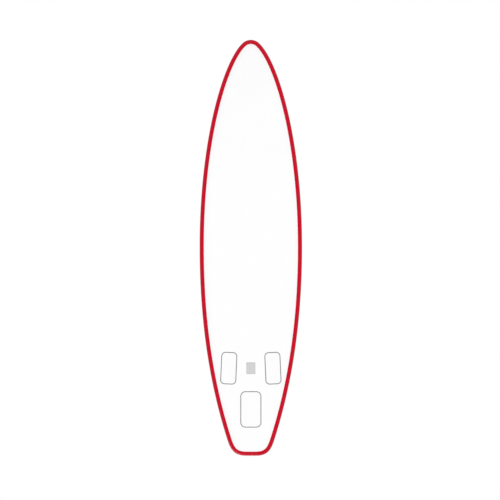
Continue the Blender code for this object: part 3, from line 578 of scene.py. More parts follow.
def weld(bm):
    """Joins points that lie on each other, and turns the faces one way."""
    bmesh.ops.remove_doubles(bm, verts=bm.verts, dist=MERGE)
    bmesh.ops.recalc_face_normals(bm, faces=bm.faces)


def piece(name, bm, finishes, body, stands_for=(), merge=True):
    """A finished piece: its mesh with outward faces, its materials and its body."""
    if merge:
        weld(bm)
    mesh = bpy.data.meshes.new(name)
    bm.to_mesh(mesh)
    bm.free()
    for finish in finishes:
        mesh.materials.append(FINISH[finish])
    mesh.shade_smooth()
    mesh.set_sharp_from_angle(angle=math.radians(SMOOTH_DEG))
    made = put(name, mesh)
    if body:
        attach(made, body)
    if stands_for:
        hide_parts(*stands_for)
    return made


def soften(thing, width):
    """Rounds a piece's edges."""
    edge = thing.modifiers.new("Edge", "BEVEL")
    edge.width = width
    edge.segments = EDGE_STEPS
    edge.limit_method = "ANGLE"
    edge.angle_limit = math.radians(EDGE_FROM_DEG)


def thicken(thing, thickness, offset=-1.0):
    """Gives a sheet its thickness: all of it inwards, or half to each side where the offset is 0."""
    wall = thing.modifiers.new("Wall", "SOLIDIFY")
    wall.thickness = thickness
    wall.offset = offset
    wall.use_even_offset = True


def verts_of(made):
    """The points among what a bmesh operator made."""
    return [item for item in made["geom"] if isinstance(item, bmesh.types.BMVert)]


def bevel(bm, geom, affect, width, steps):
    """Rounds these corners of a flat face, or these edges of a solid. Returns the points made."""
    made = bmesh.ops.bevel(
        bm, geom=geom, affect=affect, offset=width, segments=steps, profile=0.5, material=-1
    )
    return made["verts"]


def rounded_face(bm, width, length, corner):
    """One flat face with round corners, in the middle of the XY plane."""
    grid = bmesh.ops.create_grid(bm, x_segments=1, y_segments=1, size=0.5)
    bmesh.ops.scale(bm, vec=(width, length, 1), verts=grid["verts"])
    return bevel(bm, grid["verts"], "VERTICES", corner, CORNER_STEPS)[0].link_faces[0]


def raise_face(bm, face, height):
    """Makes a flat face into a plate of this height, and returns the plate's top."""
    made = bmesh.ops.extrude_face_region(bm, geom=[face])
    bmesh.ops.translate(bm, verts=verts_of(made), vec=(0, 0, height))
    return next(item for item in made["geom"] if isinstance(item, bmesh.types.BMFace))


def inset(bm, face, width, depth=0.0):
    """Draws a face in from its edges and lifts it by the depth. Returns the faces left round it."""
    made = bmesh.ops.inset_region(
        bm, faces=[face], thickness=width, depth=depth, use_even_offset=True, use_boundary=True
    )
    return made["faces"]


def map_flat(bm, name, spots):
    """A UV map in metres, from the flat place of every point."""
    layer = bm.loops.layers.uv.new(name)
    for face in bm.faces:
        for loop in face.loops:
            loop[layer].uv = spots[loop.vert]


def split_wide_faces(bm):
    """Cuts faces of more than four sides into even triangles, so that points in line leave no sliver."""
    wide = [face for face in bm.faces if len(face.verts) > 4]
    bmesh.ops.triangulate(bm, faces=wide, ngon_method="BEAUTY")


# Hull outline and rocker


def bezier(start, start_handle, end_handle, end, steps):
    """Points and directions along a cubic curve, without its first point."""
    found = []
    for step in range(1, steps + 1):
        t = step / steps
        s = 1 - t
        point = s**3 * start + 3 * s * s * t * start_handle + 3 * s * t * t * end_handle + t**3 * end
        way = s * s * (start_handle - start) + 2 * s * t * (end_handle - start_handle)
        way += t * t * (end - end_handle)
        found.append((point, way.normalized()))
    return found


def half_outline():
    """The starboard half of the outline from nose tip to tail: (place, outward direction)."""
    nose_centre = Vector((0, from_tail(BOARD_LENGTH - NOSE_RADIUS)))
    walk = []
    for step in range(NOSE_STEPS + 1):
        angle = math.radians(NOSE_ARC_DEG * step / NOSE_STEPS)
        out = Vector((math.sin(angle), math.cos(angle)))
        walk.append((nose_centre + NOSE_RADIUS * out, Vector((out.y, -out.x))))
    bow_start, bow_way = walk[-1]
    wide = Vector((BOARD_WIDTH / 2, from_tail(WIDE_POINT_FROM_TAIL)))
    aft = Vector((0, -1))
    walk += bezier(bow_start, bow_start + NOSE_SIDE_REACH * bow_way, wide - BOW_REACH * aft, wide, BOW_STEPS)
    lean = math.radians(SHOULDER_ANGLE_DEG)
    shoulder = Vector((SHOULDER_HALF_WIDTH, from_tail(SHOULDER_FROM_TAIL)))
    in_and_aft = Vector((-math.sin(lean), -math.cos(lean)))
    before = shoulder - SHOULDER_SIDE_REACH * in_and_aft
    walk += bezier(wide, wide + STERN_REACH * aft, before, shoulder, SIDE_STEPS)
    flat_end = Vector((TAIL_FLAT_HALF_WIDTH, from_tail(0)))
    corner = shoulder + TAIL_CORNER_REACH * in_and_aft
    walk += bezier(shoulder, corner, flat_end + Vector((TAIL_END_REACH, 0)), flat_end, TAIL_CORNER_STEPS)
    for step in range(1, TAIL_END_STEPS + 1):
        left = TAIL_FLAT_HALF_WIDTH * (1 - step / TAIL_END_STEPS)
        walk.append((Vector((left, from_tail(0))), Vector((-1, 0))))
    return [(place, Vector((-way.y, way.x))) for place, way in walk]


def rocker(y):
    """How far the hull is lifted at this Y."""
    ahead = max(0.0, y - from_tail(BOARD_LENGTH - NOSE_ROCKER_RUN)) / NOSE_ROCKER_RUN
    behind = max(0.0, from_tail(TAIL_ROCKER_RUN) - y) / TAIL_ROCKER_RUN
    return NOSE_ROCKER * ahead**ROCKER_POWER + TAIL_ROCKER * behind**ROCKER_POWER


STATIONS = [(place - RAIL_RADIUS * out, out) for place, out in half_outline()]


def half_width_at(y):
    """The half width of the hull's flat at this Y."""
    for (here, _), (there, _) in zip(STATIONS, STATIONS[1:]):
        if there.y <= y < here.y:
            part = (here.y - y) / (here.y - there.y)
            return here.x + part * (there.x - here.x)
    return 0.0


def spread(start, end, steps):
    """Even steps from start to end, both included."""
    return [start + (end - start) * i / steps for i in range(steps + 1)]


# Hull skins


def middle_y(place):
    """Where a station's line meets the board's middle: level, but fanned out at the straight tail end."""
    fanned = STATIONS[-1][0].y + TAIL_FAN * place.x
    return max(place.y, fanned) if place.y < 0 else place.y


def hull_skin(radius, angles, flat_side=0):
    """The starboard half of one skin: a grid over the hull's stations, with its flat first if it has one."""
    flat = FLAT_COLUMNS if flat_side else 0
    across = flat + len(angles) - 1
    along = len(STATIONS) - 1
    bm = bmesh.new()
    bmesh.ops.create_grid(bm, x_segments=across, y_segments=along, size=0.5)
    for vert in bm.verts:
        column = round((vert.co.x + 0.5) * across)
        place, out = STATIONS[round((0.5 - vert.co.y) * along)]
        angle = math.radians(angles[max(column - flat, 0)])
        if column < flat:
            share = column / flat
            x = place.x * share
            y = place.y * share + middle_y(place) * (1 - share)
            rise = flat_side * radius
        else:
            reach = radius * math.cos(angle)
            x = place.x + reach * out.x
            y = place.y + reach * out.y
            rise = radius * math.sin(angle)
        vert.co = (x, y, MID_HEIGHT + rise + rocker(y))
    bmesh.ops.remove_doubles(bm, verts=bm.verts, dist=MERGE)
    bmesh.ops.dissolve_degenerate(bm, edges=bm.edges, dist=MERGE)
    return bm


def face_outwards(bm):
    """Turns the faces of an open skin so that they look away from the hull's middle."""
    weld(bm)
    face = max(bm.faces, key=lambda each: each.calc_area())
    middle = face.calc_center_median()
    inner = Vector((0, middle.y, MID_HEIGHT + rocker(middle.y)))
    if face.normal.dot(middle - inner) < 0:
        bmesh.ops.reverse_faces(bm, faces=bm.faces)


def punch(bm, centre, radius, sides):
    """Cuts a round hole in a flat part of a skin, by planes across the faces near it."""
    near = 3 * radius
    for i in range(sides):
        angle = 2 * math.pi * i / sides
        out = Vector((math.cos(angle), math.sin(angle), 0))
        faces = [face for face in bm.faces if (face.calc_center_median() - centre).length < near]
        edges = {edge for face in faces for edge in face.edges}
        verts = {vert for face in faces for vert in face.verts}
        bmesh.ops.bisect_plane(
            bm, geom=[*faces, *edges, *verts], plane_co=centre + radius * out, plane_no=out, dist=MERGE
        )
    within = radius * math.cos(math.pi / sides)
    inside = [face for face in bm.faces if (face.calc_center_median() - centre).length < within]
    bmesh.ops.delete(bm, geom=inside, context="FACES")
    split_wide_faces(bm)


def both_halves(bm):
    """Mirrors the starboard half to port."""
    geom = [*bm.verts, *bm.edges, *bm.faces]
    bmesh.ops.mirror(bm, geom=geom, matrix=Matrix(), merge_dist=MERGE, axis="X")


def hull():
    """The bottom skin, the deck skin with the valve's hole, and the two rail bands over their edges."""
    upward = spread(-90.0, -PANEL_EDGE_DEG, PANEL_EDGE_STEPS)
    for side, node, angles, flat_side in (
        ("bottom", "bottom_panel", upward, -1),
        ("deck", "deck_panel", [-angle for angle in upward], 1),
    ):
        bm = hull_skin(PANEL_RADIUS, angles, flat_side)
        both_halves(bm)
        face_outwards(bm)
        if side == "deck":
            punch(bm, valve_place(), SLEEVE_RADIUS + VALVE_HOLE_CLEARANCE, HOLE_SIDES)
        thicken(piece(f"hull_{side}", bm, ["skin"], "board", [node], False), SKIN)
    for side, sign in (("starboard", 1), ("port", -1)):
        bm = hull_skin(RAIL_RADIUS, spread(-BAND_EDGE_DEG, BAND_EDGE_DEG, BAND_STEPS))
        for vert in bm.verts:
            vert.co.x = max(vert.co.x, SEAM_GAP / 2)
        bmesh.ops.scale(bm, verts=bm.verts, vec=(sign, 1, 1))
        face_outwards(bm)
        band = piece(f"rail_{side}", bm, ["band"], "board", [f"rail_band_{side}"], False)
        thicken(band, SKIN)


# Patches and the film on the bottom


def fin_patch(side, width, length, corner, x, distance, turn_deg):
    """A white patch with a raised grey rim, glued under the hull."""
    bm = bmesh.new()
    face = rounded_face(bm, width, length, corner)
    top = raise_face(bm, face, PATCH_THICKNESS + PATCH_RIM_HEIGHT)
    rim = bmesh.ops.inset_region(bm, faces=[top], thickness=PATCH_RIM_WIDTH, use_even_offset=True)
    slope = bmesh.ops.inset_region(bm, faces=[top], thickness=PATCH_RIM_HEIGHT / 2, depth=-PATCH_RIM_HEIGHT)
    for each in [*rim["faces"], *slope["faces"]]:
        each.material_index = 1
    place = Matrix.Translation((x, from_tail(distance), BOTTOM_HEIGHT - LAP_GAP))
    turn = Euler((math.pi, 0, math.radians(turn_deg))).to_matrix().to_4x4()
    bm.transform(place @ turn)
    made = piece(f"patch_{side}", bm, ["patch", "edge"], "board", [f"fin_patch_{side}"])
    soften(made, PATCH_EDGE)


def blank_film():
    """A plain film between the side patches, with a thin printed line round an empty field."""
    bm = bmesh.new()
    field = raise_face(bm, rounded_face(bm, FILM_WIDTH, FILM_LENGTH, FILM_CORNER), FILM_THICKNESS)
    inset(bm, field, FILM_MARGIN)
    for each in inset(bm, field, FILM_LINE):
        each.material_index = 1
    field.material_index = 2
    place = Matrix.Translation((0, from_tail(FILM_FROM_TAIL), BOTTOM_HEIGHT))
    bm.transform(place @ Euler((0, math.pi, 0)).to_matrix().to_4x4())
    piece("vinyl_film", bm, ["film", "film_line", "film_field"], "board")


def bottom_fittings():
    """The three patches, and the film between the side ones."""
    for values in FIN_PATCHES:
        fin_patch(*values)
    blank_film()


# Deck pad


def rim_of(faces):
    """The open edges of these faces."""
    return [edge for face in faces for edge in face.edges if edge.is_boundary]


def pad_face(bm):
    """The pad's outline as one face: it keeps one margin to the rail, and its corners are round."""
    rear = from_tail(PAD_REAR_FROM_TAIL)
    front = from_tail(PAD_FRONT_FROM_TAIL)
    grid = bmesh.ops.create_grid(bm, x_segments=1, y_segments=PAD_STEPS, size=0.5)
    for vert in grid["verts"]:
        y = rear + (vert.co.y + 0.5) * (front - rear)
        vert.co = (2 * vert.co.x * (half_width_at(y) - PAD_MARGIN), y, 0)
    face = bmesh.ops.dissolve_faces(bm, faces=list(bm.faces))["region"][0]
    ends = [vert for vert in face.verts if min(abs(vert.co.y - rear), abs(vert.co.y - front)) < MERGE]
    bevel(bm, ends, "VERTICES", PAD_CORNER, CORNER_STEPS)
    return bm.faces[:][0]


def cut_grooves(bm, field):
    """Cuts the field by both edges of every groove, and returns the faces that lie in a groove."""
    middle = Vector((0, from_tail((PAD_REAR_FROM_TAIL + PAD_FRONT_FROM_TAIL) / 2), 0))
    lean = math.radians(GROOVE_LEAN_DEG)
    ways = [Vector((math.cos(lean), sign * math.sin(lean), 0)) for sign in (1, -1)]
    lines = range(-GROOVES_EACH_WAY, GROOVES_EACH_WAY + 1)
    cuts = [(way, line, side) for way in ways for line in lines for side in (-0.5, 0.5)]
    for face in field:
        face.material_index = 2
    for way, line, side in cuts:
        faces = [face for face in bm.faces if face.material_index == 2]
        edges = {edge for face in faces for edge in face.edges}
        verts = {vert for edge in edges for vert in edge.verts}
        at = middle + way * (line * GROOVE_PITCH + side * GROOVE_WIDTH)
        bmesh.ops.bisect_plane(bm, geom=[*faces, *edges, *verts], plane_co=at, plane_no=way, dist=MERGE)
    grooves = []
    for face in bm.faces:
        if face.material_index != 2:
            continue
        face.material_index = 0
        place = face.calc_center_median() - middle
        steps = [place.dot(way) / GROOVE_PITCH for way in ways]
        if min(abs(step - round(step)) for step in steps) * GROOVE_PITCH < GROOVE_WIDTH / 2:
            grooves.append(face)
    return grooves


def pad_window(bm):
    """The face that leaves the window open round the handle, with the rim that frames it."""
    window = rounded_face(
        bm,
        PAD_WINDOW_WIDTH + 2 * PAD_WINDOW_RIM,
        PAD_WINDOW_LENGTH + 2 * PAD_WINDOW_RIM,
        PAD_WINDOW_CORNER + PAD_WINDOW_RIM,
    )
    bmesh.ops.translate(bm, verts=window.verts, vec=(0, from_tail(HANDLE_FROM_TAIL), 0))
    return window, rim_of(inset(bm, window, PAD_WINDOW_RIM))


def pad_sides(bm):
    """Folds the pad's open edges down to its underside, rounds them, and closes it below."""
    edges = [edge for edge in bm.edges if edge.is_boundary]
    skirt = bmesh.ops.extrude_edge_only(bm, edges=edges)
    bmesh.ops.translate(bm, verts=verts_of(skirt), vec=(0, 0, -PAD_THICKNESS))
    bevel(bm, edges, "EDGES", PAD_EDGE, PAD_EDGE_STEPS)
    under = [edge for edge in bm.edges if edge.is_boundary]
    bmesh.ops.triangle_fill(bm, use_beauty=True, edges=under, normal=(0, 0, -1))


def deck_pad():
    """Two-layer foam: a plain border, a channel, and diamonds whose grooves show the pale layer."""
    bm = bmesh.new()
    face = pad_face(bm)
    inset(bm, face, PAD_BORDER)
    channel = inset(bm, face, PAD_CHANNEL)
    window, outer = pad_window(bm)
    bmesh.ops.delete(bm, geom=[face, window], context="FACES_ONLY")
    open_edges = [*rim_of(channel), *outer]
    filled = bmesh.ops.triangle_fill(bm, use_beauty=False, edges=open_edges, normal=(0, 0, 1))["geom"]
    grooves = cut_grooves(bm, [item for item in filled if isinstance(item, bmesh.types.BMFace)])
    sunk = [*grooves, *channel]
    walls = bmesh.ops.inset_region(bm, faces=sunk, thickness=GROOVE_WALL, depth=-GROOVE_DEPTH)
    for each in [*sunk, *walls["faces"]]:
        each.material_index = 1
    pad_sides(bm)
    bmesh.ops.translate(bm, verts=bm.verts, vec=(0, 0, DECK_HEIGHT + LAP_GAP + PAD_THICKNESS))
    split_wide_faces(bm)
    pad = piece("foam_deck_pad", bm, ["foam", "foam_light"], "board", ["deck_pad"])


# Webbing, thread and fabric patches


def ribbon(path, width):
    """A strap's middle sheet across X along a path of (y, z) points. Its UV map runs in metres."""
    bm = bmesh.new()
    rows = len(path) - 1
    bmesh.ops.create_grid(bm, x_segments=RIBBON_COLUMNS, y_segments=rows, size=0.5)
    run = [0.0]
    for here, there in zip(path, path[1:]):
        run.append(run[-1] + math.dist(here, there))
    spots = {}
    for vert in bm.verts:
        row = round((vert.co.y + 0.5) * rows)
        spots[vert] = (vert.co.x * width, run[row])
        vert.co = (vert.co.x * width, *path[row])
    map_flat(bm, "strap", spots)
    return bm


def stitch_line(bm, start, end):
    """A row of thread beads from one point to another, on a level face."""
    way = Vector(end) - Vector(start)
    count = max(1, round(way.length / STITCH_PITCH))
    turn = Matrix.Rotation(math.atan2(way.y, way.x), 4, "Z")
    bead = Matrix.Diagonal((STITCH_LENGTH, STITCH_WIDTH, STITCH_HEIGHT, 1))
    for i in range(count):
        at = Matrix.Translation(Vector(start) + way * (i + 0.5) / count)
        bmesh.ops.create_icosphere(bm, subdivisions=1, radius=0.5, matrix=at @ turn @ bead)


def crossed_box(bm, low, high, height):
    """The box of stitches with a cross in it that holds a webbing's end."""
    corners = [(*spot, height) for spot in (low, (high[0], low[1]), high, (low[0], high[1]))]
    for here, there in zip(corners, corners[1:] + corners[:1]):
        stitch_line(bm, here, there)
    stitch_line(bm, corners[0], corners[2])
    stitch_line(bm, corners[1], corners[3])


def fabric_patch(name, bm, outline, height, margin, place, node):
    """A patch glued to the deck, pressed down a little inside its margin."""
    top = raise_face(bm, outline, height)
    inset(bm, top, margin)
    inset(bm, top, *PRESS)
    bm.transform(place)
    soften(piece(name, bm, ["patch"], "board", [node]), FABRIC_PATCH_EDGE)


def arc(centre, radius, start_deg, end_deg, steps):
    """Points along part of a circle."""
    angles = [math.radians(start_deg + (end_deg - start_deg) * i / steps) for i in range(steps + 1)]
    return [(centre[0] + radius * math.cos(a), centre[1] + radius * math.sin(a)) for a in angles]


# Carry handle


def grip_height(y):
    """The height of the grip's middle line over the deck panel."""
    return GRIP_HEIGHT - GRIP_CROWN * (2 * y / GRIP_LENGTH) ** 2


def strap_path():
    """The strap's front run in (y, z) from its sewn end into the grip, at the middle of its thickness."""
    low = 2 * LAP_GAP + FABRIC_PATCH + STRAP_THICKNESS / 2
    grip_end = GRIP_LENGTH / 2
    lift = Vector((STRAP_LIFTS_OFF_AT, low))
    top = Vector((grip_end, grip_height(grip_end)))
    out = Vector((1, -4 * GRIP_CROWN / GRIP_LENGTH)).normalized()
    reach = STRAP_EASE * (lift.x - top.x)
    rise = bezier(lift, lift - Vector((reach, 0)), top + reach * out, top, STRAP_RISE_STEPS)
    sewn = [(STRAP_LIFTS_OFF_AT + distance, low) for distance in spread(STRAP_SEWN_LENGTH, 0, SEWN_STEPS)]
    inside = [(grip_end - distance, grip_height(grip_end - distance)) for distance in STRAP_ENDS_IN_GRIP]
    return sewn + [tuple(point) for point, _ in rise] + inside


def handle_end(end, sign, middle):
    """One end of the handle: its patch, its run of webbing, and the stitches that hold the webbing."""
    bm = bmesh.new()
    outline = rounded_face(bm, HANDLE_PATCH_WIDTH, HANDLE_PATCH_LENGTH, HANDLE_PATCH_CORNER)
    place = Matrix.Translation((0, middle + sign * HANDLE_PATCH_SPAN / 2, DECK_HEIGHT + LAP_GAP))
    names = f"handle_base_{end}", f"handle_patch_{end}"
    fabric_patch(names[0], bm, outline, FABRIC_PATCH, HANDLE_PATCH_MARGIN, place, names[1])
    bm = ribbon([(sign * y, z) for y, z in strap_path()], STRAP_WIDTH)
    bmesh.ops.translate(bm, verts=bm.verts, vec=(0, middle, DECK_HEIGHT))
    strap = piece(f"handle_webbing_{end}", bm, ["webbing"], None, [f"handle_strap_{end}"])
    thicken(strap, STRAP_THICKNESS, 0.0)
    soften(strap, STRAP_EDGE)
    lift = middle + sign * STRAP_LIFTS_OFF_AT
    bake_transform(strap)
    bm = bmesh.new()
    first, last = STRAP_STITCH_END, STRAP_SEWN_LENGTH - STRAP_STITCH_END
    near, far = sorted((lift + sign * first, lift + sign * last))
    reach = STRAP_WIDTH / 2 - STRAP_STITCH_SIDE
    height = DECK_HEIGHT + 2 * LAP_GAP + FABRIC_PATCH + STRAP_THICKNESS
    crossed_box(bm, (-reach, near), (reach, far), height)
    piece(f"handle_stitches_{end}", bm, ["thread"], "board")


def handle():
    """The carry handle: both ends of its webbing, and the grip between them."""
    middle = from_tail(HANDLE_FROM_TAIL)
    handle_end("front", 1, middle)
    handle_end("rear", -1, middle)
    grip(middle)
    grip_stitches(middle)


def grip_fullness(y):
    """How full the sleeve is here: pulled in a little at each hem's seam, and fullest in the middle."""
    to_end = GRIP_LENGTH / 2 - abs(y)
    pinch = HEM_PINCH * math.exp(-(((to_end - HEM) / HEM_PINCH_WIDTH) ** 2))
    roll = HEM_ROLL * max(0.0, 1 - to_end / HEM_ROLL_WIDTH) ** 2
    return 1.0 - pinch - roll - GRIP_TAPER * (2 * y / GRIP_LENGTH) ** 2


def grip_point(middle, y, angle):
    """A point on the sleeve, this far from its middle and at this angle round it."""
    full = grip_fullness(y)
    return (
        full * GRIP_WIDTH / 2 * math.cos(angle),
        middle + y,
        DECK_HEIGHT + grip_height(y) + full * GRIP_THICKNESS / 2 * math.sin(angle),
    )


def grip(middle):
    """A neoprene sleeve round the webbing, with a hem and a turned-in mouth at each end."""
    bm = bmesh.new()
    bmesh.ops.create_grid(bm, x_segments=GRIP_STEPS_AROUND, y_segments=GRIP_STEPS_ALONG, size=0.5)
    spots = {}
    for vert in bm.verts:
        angle = 2 * math.pi * (vert.co.x + 0.5)
        y = vert.co.y * GRIP_LENGTH
        spots[vert] = (angle * GRIP_WIDTH / math.pi, y)
        vert.co = grip_point(middle, y, angle)
    map_flat(bm, "sleeve", spots)
    bmesh.ops.remove_doubles(bm, verts=bm.verts, dist=MERGE)
    open_edges = [edge for edge in bm.edges if edge.is_boundary]
    for end in bmesh.ops.holes_fill(bm, edges=open_edges, sides=0)["faces"]:
        inset(bm, end, *GRIP_LIP)
        inset(bm, end, *GRIP_MOUTH)
    sleeve = piece("neoprene_grip", bm, ["neoprene"], "handle", ["handle_grip"])


def grip_stitches(middle):
    """A row of stitches along each side of the sleeve's top, from hem to hem."""
    bm = bmesh.new()
    half = GRIP_LENGTH / 2 - HEM
    for side in (-1, 1):
        angle = math.radians(90 - side * GRIP_STITCH_DEG)
        line = [grip_point(middle, y, angle) for y in spread(-half, half, GRIP_STITCH_STEPS)]
        for here, there in zip(line, line[1:]):
            stitch_line(bm, here, there)
    piece("grip_stitches", bm, ["thread"], "handle")


# D-ring anchors


def eye_height():
    """The height of a ring's bar over its patch."""
    return LAP_GAP + LOOP_THICKNESS + LOOP_EYE_CLEARANCE + RING_WIRE / 2


def loop_path():
    """The folded strap in (y, z) from the ring's bar: flat, round the bar, and back on itself."""
    half = LOOP_THICKNESS / 2
    low = LAP_GAP + half - eye_height()
    roll = RING_WIRE / 2 + LOOP_EYE_CLEARANCE + half
    high = low + LOOP_THICKNESS + LAP_GAP
    start = [(-distance, low) for distance in spread(LOOP_SEWN_LENGTH, LOOP_STEP, SEWN_STEPS)]
    round_bar = arc((0.0, 0.0), roll, -90, LOOP_WRAP_DEG, LOOP_WRAP_STEPS)
    leaving = Vector(round_bar[-1])
    landing = Vector((-LOOP_LANDS_AT * roll, high))
    before = landing + Vector((LOOP_STEP, 0))
    lowered = bezier(leaving, leaving + Vector(LOOP_LEAVES_BAR), before, landing, SEWN_STEPS)
    back = [(-distance, high) for distance in spread(LOOP_STEP - landing.x, LOOP_SEWN_LENGTH, SEWN_STEPS)]
    return start + round_bar + [tuple(point) for point, _ in lowered] + back


def ring_points():
    """The middle line of the ring's wire: a straight bar on X, round corners, and a bow."""
    half = LOOP_WIDTH / 2 + RING_SIDE_CLEARANCE + RING_WIRE / 2
    across = half - RING_CORNER
    right = arc((across, RING_CORNER), RING_CORNER, -90, 0, RING_CORNER_STEPS)
    bow = arc((0.0, RING_CORNER + RING_SIDE), half, 0, 180, RING_BOW_STEPS)
    left = arc((-across, RING_CORNER), RING_CORNER, 180, 270, RING_CORNER_STEPS)
    points = [(x, y, 0.0) for x, y in right + bow + left]
    return [here for here, there in zip(points, points[1:] + points[:1]) if math.dist(here, there) > MERGE]


def ring_seat(stem, turn_deg):
    """The place of a ring's bar, turned with the deck's slope and with the way that the ring points."""
    joints = {joint["name"]: joint for joint in frame["record"]["behaviour"]["joints"]}
    bar = Vector(joints[f"{stem}_ring_hinge"]["pos_m"])
    rise = rocker(bar.y + RING_PATCH_RADIUS) - rocker(bar.y - RING_PATCH_RADIUS)
    slope = math.atan2(rise, 2 * RING_PATCH_RADIUS)
    seat = Matrix.Translation(bar) @ Matrix.Rotation(slope, 4, "X")
    return seat @ Matrix.Rotation(math.radians(turn_deg), 4, "Z")


def wire_piece(name, points, radius, cyclic, place, body, node):
    """Round steel wire along a line, made a mesh with its place in it."""
    curve = bpy.data.curves.new(name, "CURVE")
    curve.dimensions = "3D"
    curve.bevel_depth = radius
    curve.bevel_resolution = WIRE_ROUNDNESS
    curve.use_fill_caps = not cyclic
    spline = curve.splines.new("POLY")
    spline.points.add(len(points) - 1)
    for slot_point, point in zip(spline.points, points):
        slot_point.co = (*point, 1.0)
    spline.use_cyclic_u = cyclic
    line = put(name, curve)
    mesh = bpy.data.meshes.new_from_object(line.evaluated_get(bpy.context.evaluated_depsgraph_get()))
    bpy.data.objects.remove(line)
    bm = bmesh.new()
    bm.from_mesh(mesh)
    bm.transform(place)
    bpy.data.meshes.remove(mesh)
    return piece(name, bm, ["steel"], body, [node])


def dring_anchor(stem, turn_deg):
    """A round base patch, a folded and sewn webbing loop, and a steel ring through it."""
    seat = ring_seat(stem, turn_deg)
    bm = bmesh.new()
    bmesh.ops.create_circle(bm, cap_ends=True, segments=ROUND_STEPS, radius=RING_PATCH_RADIUS)
    # The patch reaches a little into the deck, so that no slit shows under it
    deep = FABRIC_PATCH + 2 * LAP_GAP
    place = seat @ Matrix.Translation((0, 0, -eye_height() - deep))
    outline = bm.faces[:][0]
    fabric_patch(f"{stem}_base", bm, outline, deep, RING_PATCH_MARGIN, place, f"{stem}_dring_patch")
    bm = ribbon(loop_path(), LOOP_WIDTH)
    bm.transform(seat)
    loop = piece(f"{stem}_webbing", bm, ["webbing"], "board", [f"{stem}_dring_loop"], False)
    thicken(loop, LOOP_THICKNESS, 0.0)
    soften(loop, LOOP_EDGE)
    bm = bmesh.new()
    height = 2 * LOOP_THICKNESS + 2 * LAP_GAP - eye_height()
    reach = LOOP_WIDTH / 2 - LOOP_STITCH_SIDE
    far, near = LOOP_STITCH_END - LOOP_SEWN_LENGTH, -LOOP_STITCH_START
    crossed_box(bm, (-reach, far), (reach, near), height)
    bm.transform(seat)
    piece(f"{stem}_stitches", bm, ["thread"], "board")
    points = ring_points()
    droop = math.asin((eye_height() - RING_WIRE / 2 - LAP_GAP) / max(y for _, y, _ in points))
    place = seat @ Matrix.Rotation(-droop, 4, "X")
    node = f"{stem}_dring"
    wire_piece(f"{stem}_steel_ring", points, RING_WIRE / 2, True, place, f"{stem}_ring", node)


# Inflation valve


def valve_place():
    """The middle of the valve's hole, in the deck panel's face."""
    return Vector((0, from_tail(VALVE_FROM_TAIL), DECK_HEIGHT))


def turned(profile, closed, steps=ROUND_STEPS):
    """A profile of (radius, height) turned about Z. A closed one has a bore."""
    bm = bmesh.new()
    corners = [bm.verts.new((radius, 0.0, height)) for radius, height in profile]
    edges = [bm.edges.new(pair) for pair in zip(corners, corners[1:])]
    if closed:
        edges.append(bm.edges.new((corners[-1], corners[0])))
    turn = {"angle": 2 * math.pi, "axis": (0, 0, 1), "cent": (0, 0, 0), "use_merge": True}
    bmesh.ops.spin(bm, geom=[*corners, *edges], steps=steps, **turn)
    return bm


def flat_ring(outer, inner, low, high, steps=ROUND_STEPS):
    """A ring of oblong section between two radii and two heights."""
    return turned([(outer, high), (outer, low), (inner, low), (inner, high)], True, steps)


def upright_plate(bm, side, width):
    """Adds a piece of even width across X with this outline in (y, z)."""
    corners = [bm.verts.new((-width / 2, y, z)) for y, z in side]
    face = bm.faces.new(corners)
    made = bmesh.ops.extrude_face_region(bm, geom=[face])
    bmesh.ops.translate(bm, verts=verts_of(made), vec=(width, 0, 0))


def valve_piece(name, bm, finish, body, node, edge):
    """A piece of the valve, set in its place with its edges rounded."""
    bmesh.ops.translate(bm, verts=bm.verts, vec=valve_place())
    soften(piece(name, bm, [finish], body, [node]), edge)


def add_mesh(bm, other):
    """Joins another bmesh to this one."""
    mesh = bpy.data.meshes.new("joined")
    other.to_mesh(mesh)
    other.free()
    bm.from_mesh(mesh)
    bpy.data.meshes.remove(mesh)


def valve_housing():
    """The body: a flange on the deck, a neck that the cap and the hose go on, and the stem's spider."""
    profile = [
        (NECK_RADIUS, NECK_TOP),
        (NECK_RADIUS, FLANGE_TOP),
        (FLANGE_RADIUS - FLANGE_CHAMFER, FLANGE_TOP),
        (FLANGE_RADIUS, FLANGE_TOP - FLANGE_CHAMFER),
        (FLANGE_RADIUS, FLANGE_BOTTOM),
        (SLEEVE_RADIUS, FLANGE_BOTTOM),
        (SLEEVE_RADIUS, SLEEVE_BOTTOM),
        (SKIRT_RADIUS, SLEEVE_BOTTOM),
        (SKIRT_RADIUS, SEAT_BOTTOM),
        (SEAT_RADIUS, SEAT_BOTTOM),
        (SEAT_RADIUS, SEAT_TOP),
        (THROAT_RADIUS, SEAT_TOP),
        (THROAT_RADIUS, NECK_TOP),
    ]
    bm = turned(profile, True)
    add_mesh(bm, flat_ring(HUB_RADIUS, STEM_BORE, SPIDER_BOTTOM, SPIDER_TOP, HUB_STEPS))
    inner = (HUB_RADIUS + STEM_BORE) / 2
    outer = (THROAT_RADIUS + SLEEVE_RADIUS) / 2
    middle = Matrix.Translation(((inner + outer) / 2, 0, (SPIDER_TOP + SPIDER_BOTTOM) / 2))
    shape = Matrix.Diagonal((outer - inner, SPIDER_ARM_WIDTH, SPIDER_ARM_HEIGHT, 1))
    for i in range(SPIDER_ARMS):
        turn = Matrix.Rotation(math.radians(90 + 360 * i / SPIDER_ARMS), 4, "Z")
        bmesh.ops.create_cube(bm, size=1.0, matrix=turn @ middle @ shape)
    valve_piece("valve_housing", bm, "valve", "board", "valve_body", HOUSING_EDGE)


